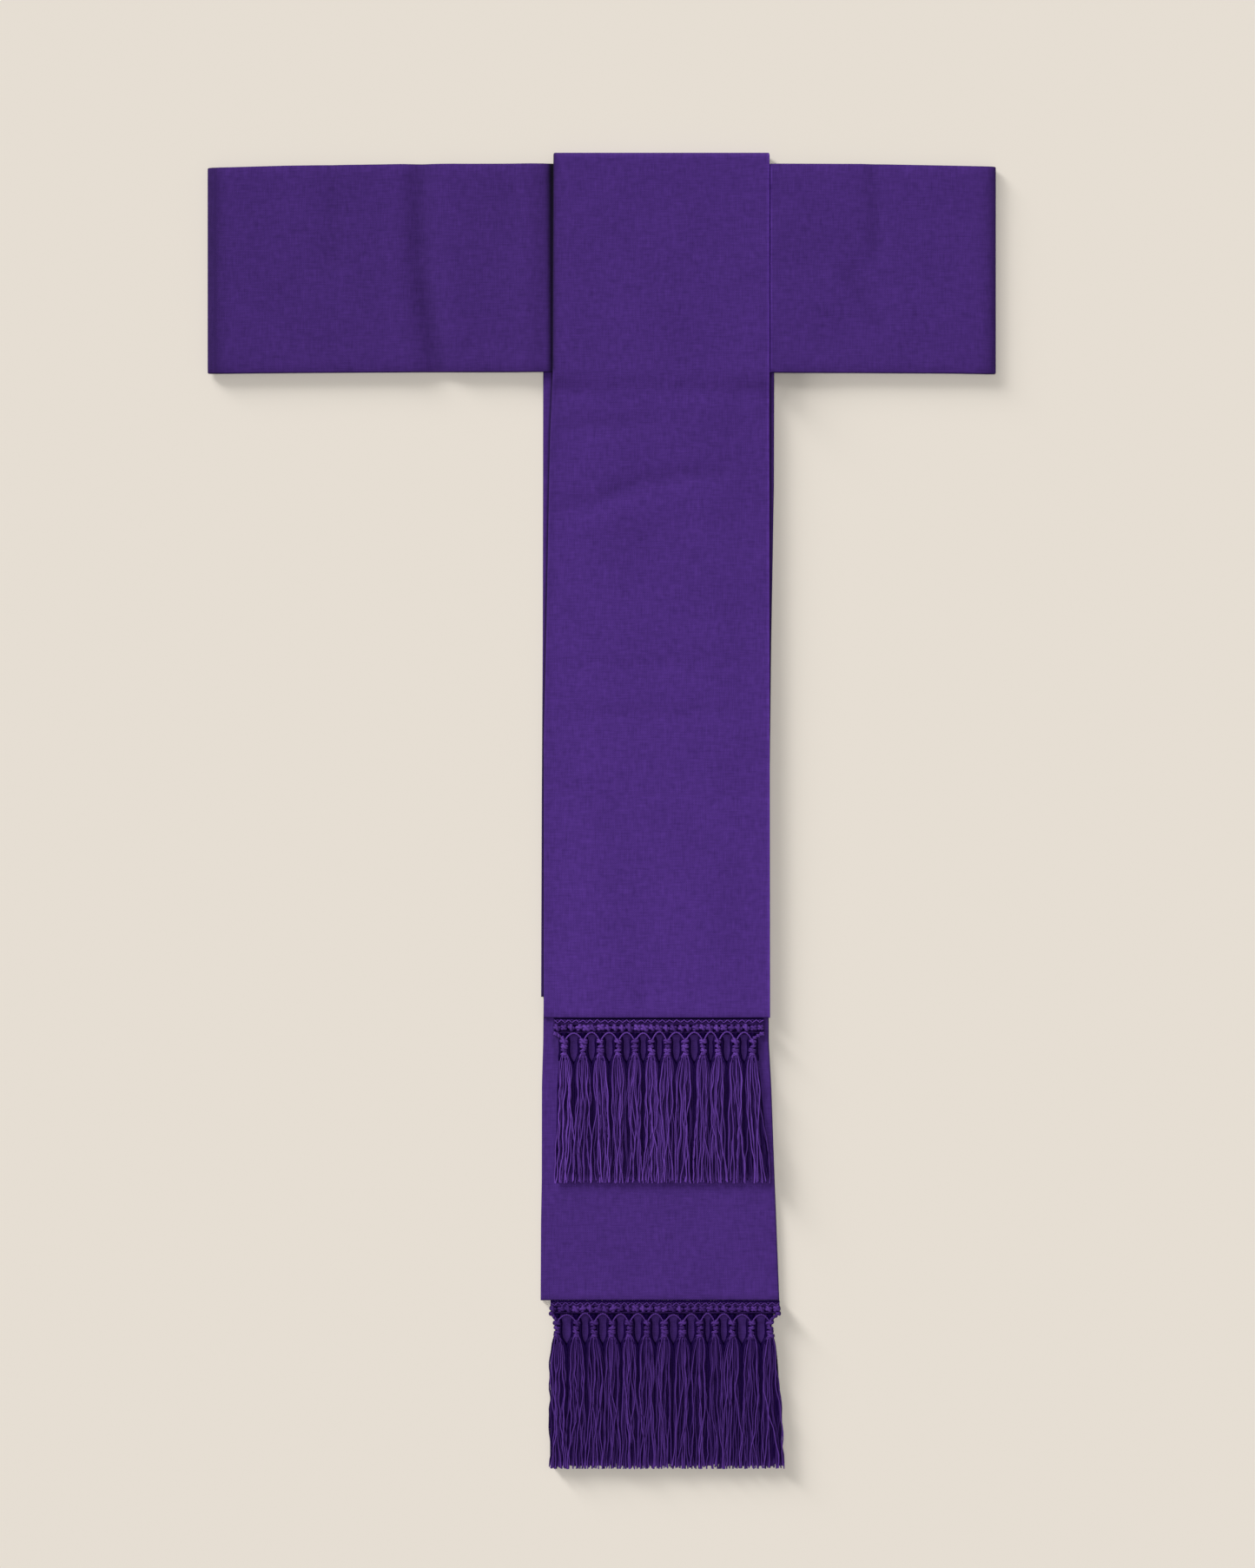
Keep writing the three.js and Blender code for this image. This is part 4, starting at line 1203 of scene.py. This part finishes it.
def fringe_pieces(fringe, material):
    """Heading piece and tassel piece of one fringe."""
    name = fringe["name"]
    rng = random.Random(fringe["seed"] + 1)
    backing = [straight_cord(fringe, (i + 0.5) / BACKING["cords"], BACKING["level"], BACKING["tone"])
               for i in range(BACKING["cords"])]
    rails = [straight_cord(fringe, share, RAILS["level"], RAILS["tone"]) for share in RAILS["places"]]
    edge = [straight_cord(fringe, TOP_CORD["place"], TOP_CORD["level"], TOP_CORD["tone"])]
    knot_rng = random.Random(fringe["seed"] + 2)
    rows = heading_knots(fringe, knot_rng) + end_knots(fringe, knot_rng) + neck_knots(fringe, knot_rng)
    knots = grown("knots", point_mesh("knot_points", rows), tie_tree, Knot=knot, Material=material)
    heading = joined(f"{name}_fringe_knotting", [
        yarns("backing", backing, material, BACKING["radius"]),
        yarns("edge", edge, material, TOP_CORD["radius"]),
        yarns("rails", rails, material, **RAIL_YARN),
        yarns("chain", heading_chain(fringe, rng), material, **CHAIN_YARN),
        yarns("arcs", heading_arcs(fringe, rng), material, **ARC_YARN),
        knots,
    ])
    tassels = joined(f"{name}_fringe_tassels", [
        yarns("skirts", skirt_yarns(fringe), material, YARN_RADIUS),
        yarns("cores", neck_cores(fringe), material, NECK_CORE_RADIUS, sides=8),
    ])
    return heading, tassels


# Materials

def place_noise(tree, vector, stretch, scale, detail):
    """Noise on a stretched copy of the vector."""
    mapping = add_node(tree, "ShaderNodeMapping", {"Vector": vector, "Scale": stretch})
    noise = add_node(tree, "ShaderNodeTexNoise",
                     {"Vector": mapping.outputs["Vector"], "Scale": scale, "Detail": detail})
    return noise.outputs["Fac"]


def plain_weave_group():
    """Plain weave: crossing threads with slubs, as a height and a tone."""
    tree = bpy.data.node_groups.new("Plain weave", "ShaderNodeTree")
    add_socket(tree, "Vector", "NodeSocketVector")
    add_socket(tree, "Thread pitch", "NodeSocketFloat")
    add_socket(tree, "Height", "NodeSocketFloat", way="OUTPUT")
    add_socket(tree, "Tone", "NodeSocketFloat", way="OUTPUT")
    given = add_node(tree, "NodeGroupInput").outputs
    vector = given["Vector"]
    split = add_node(tree, "ShaderNodeSeparateXYZ", {"Vector": vector})
    waves = []
    for axis in "XY":
        threads = math_node(tree, "DIVIDE", split.outputs[axis], given["Thread pitch"])
        waves.append(math_node(tree, "SINE", math_node(tree, "MULTIPLY", threads, math.pi)))
    over = math_node(tree, "MULTIPLY", waves[0], waves[1])
    warp = place_noise(tree, vector, stretch=(1, 0.06, 1), scale=1500, detail=2)
    weft = place_noise(tree, vector, stretch=(0.06, 1, 1), scale=1500, detail=2)
    mottle = place_noise(tree, vector, stretch=(1, 1, 1), scale=260, detail=3)
    patches = place_noise(tree, vector, stretch=(1, 1, 1), scale=30, detail=2)
    slubs = math_node(tree, "ADD", warp, weft)
    height = math_node(tree, "ADD", math_node(tree, "MULTIPLY", over, WEAVE["threads"]), slubs)
    tone = math_node(tree, "MULTIPLY", slubs, WEAVE["slubs"])
    tone = math_node(tree, "ADD", tone, math_node(tree, "MULTIPLY", mottle, WEAVE["mottle"]))
    tone = math_node(tree, "ADD", tone, math_node(tree, "MULTIPLY", patches, WEAVE["patches"]))
    add_node(tree, "NodeGroupOutput", {"Height": height, "Tone": tone})
    return tree


def fibre_group():
    """Yarn fibres: fine lengthwise streaks, as a height."""
    tree = bpy.data.node_groups.new("Yarn fibres", "ShaderNodeTree")
    add_socket(tree, "Vector", "NodeSocketVector")
    add_socket(tree, "Height", "NodeSocketFloat", way="OUTPUT")
    vector = add_node(tree, "NodeGroupInput").outputs["Vector"]
    streaks = place_noise(tree, vector, stretch=(1, 0.18, 1), scale=2600, detail=2)
    coarse = place_noise(tree, vector, stretch=(1, 0.5, 1), scale=700, detail=1)
    add_node(tree, "NodeGroupOutput", {"Height": math_node(tree, "ADD", streaks, coarse)})
    return tree


def two_tone(tree, factor, dark, light, low, high):
    """Colour between two tones as the factor goes from low to high."""
    ramp = add_node(tree, "ShaderNodeMapRange", {"Value": factor, "From Min": low, "From Max": high})
    blend = add_node(tree, "ShaderNodeMix", {
        "Factor": ramp.outputs["Result"], MIX_COLOURS["a"]: (*dark, 1), MIX_COLOURS["b"]: (*light, 1),
    }, data_type="RGBA")
    return blend.outputs[MIX_COLOURS["result"]]


def new_material(name):
    """New material with its tree and its shader."""
    material = bpy.data.materials.new(name)
    material.use_nodes = True
    return material, material.node_tree, material.node_tree.nodes["Principled BSDF"]


def bump(tree, height, strength):
    """Normal of a bump from a height."""
    inputs = {"Height": height, "Distance": BUMP_DEPTH * MM, "Strength": strength}
    return add_node(tree, "ShaderNodeBump", inputs).outputs["Normal"]


def cloth_material():
    """Matte purple cloth in a fine plain weave, lightened or darkened by the shells' shade attribute:
    painted shade and light, and the cloth's level from place to place.
    """
    material, tree, shader = new_material("purple_plain_weave")
    place = add_node(tree, "ShaderNodeTexCoord")
    weave = add_node(tree, "ShaderNodeGroup",
                     {"Vector": place.outputs["UV"], "Thread pitch": THREAD_PITCH * MM},
                     node_tree=weave_tree)
    colour = two_tone(tree, weave.outputs["Tone"], CLOTH_DARK, CLOTH_LIGHT, low=0.36, high=0.64)
    # Painted shade and light, carried by the shells' shade attribute, scale the weave's colour
    shade = add_node(tree, "ShaderNodeAttribute", attribute_name="shade")
    lightness = math_node(tree, "ADD", shade.outputs["Fac"], 1.0)
    set_inputs(tree, shader, {
        "Base Color": vector_node(tree, "SCALE", colour, scale=lightness),
        "Normal": bump(tree, weave.outputs["Height"], strength=0.5),
        "Roughness": 0.9,
        "Specular IOR Level": 0.15,
        "Sheen Weight": 0.06,
        "Sheen Roughness": 0.5,
        "Sheen Tint": (0.5, 0.35, 0.9, 1),
    })
    return material


def yarn_material():
    """Purple yarn with a soft lustre; each yarn has its own tone, which also carries painted shade and
    light.
    """
    material, tree, shader = new_material("purple_twisted_yarn")
    place = add_node(tree, "ShaderNodeTexCoord")
    fibres = add_node(tree, "ShaderNodeGroup", {"Vector": place.outputs["Object"]}, node_tree=fibre_tree)
    tone = add_node(tree, "ShaderNodeAttribute", attribute_name="tone")
    set_inputs(tree, shader, {
        "Base Color": two_tone(tree, tone.outputs["Fac"], YARN_DARK, YARN_LIGHT, low=0.0, high=1.6),
        "Normal": bump(tree, fibres.outputs["Height"], strength=0.4),
        "Roughness": 0.42,
        "Specular IOR Level": 0.14,
        "Specular Tint": (0.5, 0.25, 1, 1),
    })
    return material


# Camera and studio

def camera():
    """Camera straight above, as the photograph was taken."""
    data = bpy.data.cameras.new("camera")
    data.lens = LENS
    data.sensor_width = SENSOR
    data.clip_end = 20
    eye = bpy.data.objects.new("camera", data)
    eye.location = (FRAME_CENTRE[0] * MM, FRAME_CENTRE[1] * MM, FRAME_HEIGHT * MM * LENS / SENSOR)
    bpy.context.scene.collection.objects.link(eye)
    bpy.context.scene.camera = eye


def studio():
    """Even white surroundings and the pale floor."""
    world = bpy.data.worlds.new("studio")
    world.use_nodes = True
    background = world.node_tree.nodes["Background"]
    set_inputs(world.node_tree, background, {"Color": (1, 1, 1, 1), "Strength": FILL_SHARE})
    bpy.context.scene.world = world
    material, tree, shader = new_material("pale_floor")
    set_inputs(tree, shader, {"Base Color": (*FLOOR_COLOUR, 1), "Roughness": 1.0, "Specular IOR Level": 0.0})
    side = FLOOR_HALF_SIDE
    floor = new_object("floor", [(-side, -side, 0), (side, -side, 0), (side, side, 0), (-side, side, 0)],
                       [(0, 1, 2, 3)], material)
    return floor


def lamps(floor, on_band, on_falls):
    """The lights, each shining on the floor alone or on the pieces alone."""
    lit = {"floor": [floor], "pieces": on_band + on_falls}
    shading = {"all": on_band + on_falls, "band": on_band, "falls": on_falls, "nothing": []}
    for row in LAMPS:
        light = bpy.data.lights.new(row["name"], "SUN")
        light.angle = math.radians(row["softness"])
        light.energy = row["share"] * math.pi / math.sin(math.radians(row["elevation"]))
        lamp = bpy.data.objects.new(row["name"], light)
        plan, up = math.radians(row["plan"]), math.radians(row["elevation"])
        towards = Vector((math.cos(plan) * math.cos(up), math.sin(plan) * math.cos(up), math.sin(up)))
        lamp.rotation_euler = towards.to_track_quat("Z", "Y").to_euler()
        bpy.context.scene.collection.objects.link(lamp)
        receivers = bpy.data.collections.new(row["name"] + "_receivers")
        for piece in lit[row["on"]]:
            receivers.objects.link(piece)
        lamp.light_linking.receiver_collection = receivers
        if "shaded_by" in row:
            blockers = bpy.data.collections.new(row["name"] + "_blockers")
            for piece in shading[row["shaded_by"]]:
                blockers.objects.link(piece)
            lamp.light_linking.blocker_collection = blockers


bpy.context.scene.view_settings.view_transform = "Standard"
camera()
floor = studio()

# Trees and materials that the pieces share
weave_tree = plain_weave_group()
fibre_tree = fibre_group()
yarn_tree = plied_yarn_tree()
tie_tree = knots_tree()
cloth = cloth_material()
yarn = yarn_material()
knot = knot_model(yarn)

# Cloth pieces
band, band_depth, band_length = waistband(cloth)
fall, fall_width, fall_length = front_fall(cloth)
upper, upper_width, upper_length = back_fall("back_fall_upper_cloth", BACK_UPPER_EDGES, cloth)
lower, lower_width, lower_length = back_fall("back_fall_lower_cloth", BACK_LOWER_EDGES, cloth)
tape, tape_width, tape_length = fringe_tape(cloth)

for piece, nodes in (
    (band, ("waistband_front", "waistband_back")),
    (fall, ("front_fall",)),
    (upper, ("back_fall_upper",)),
    (lower, ("back_fall_lower",)),
    (tape, ("back_fringe_tape",)),
):
    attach(piece, "root")
    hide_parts(*nodes)

# Fringe pieces
going_with = {}
for fringe in FRINGES:
    heading, tassels = fringe_pieces(fringe, yarn)
    going_with[fringe["name"]] = [heading, tassels]
    for piece in (heading, tassels):
        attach(piece, "root")
    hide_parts(f"{fringe['name']}_fringe_heading")
    count = len(fringe["necks"])
    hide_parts(*[f"{fringe['name']}_tassel_{i + 1:02d}" for i in range(count)])
bpy.data.objects.remove(knot)
lamps(floor, [band], [fall, upper, lower, tape, *going_with["front"], *going_with["back"]])
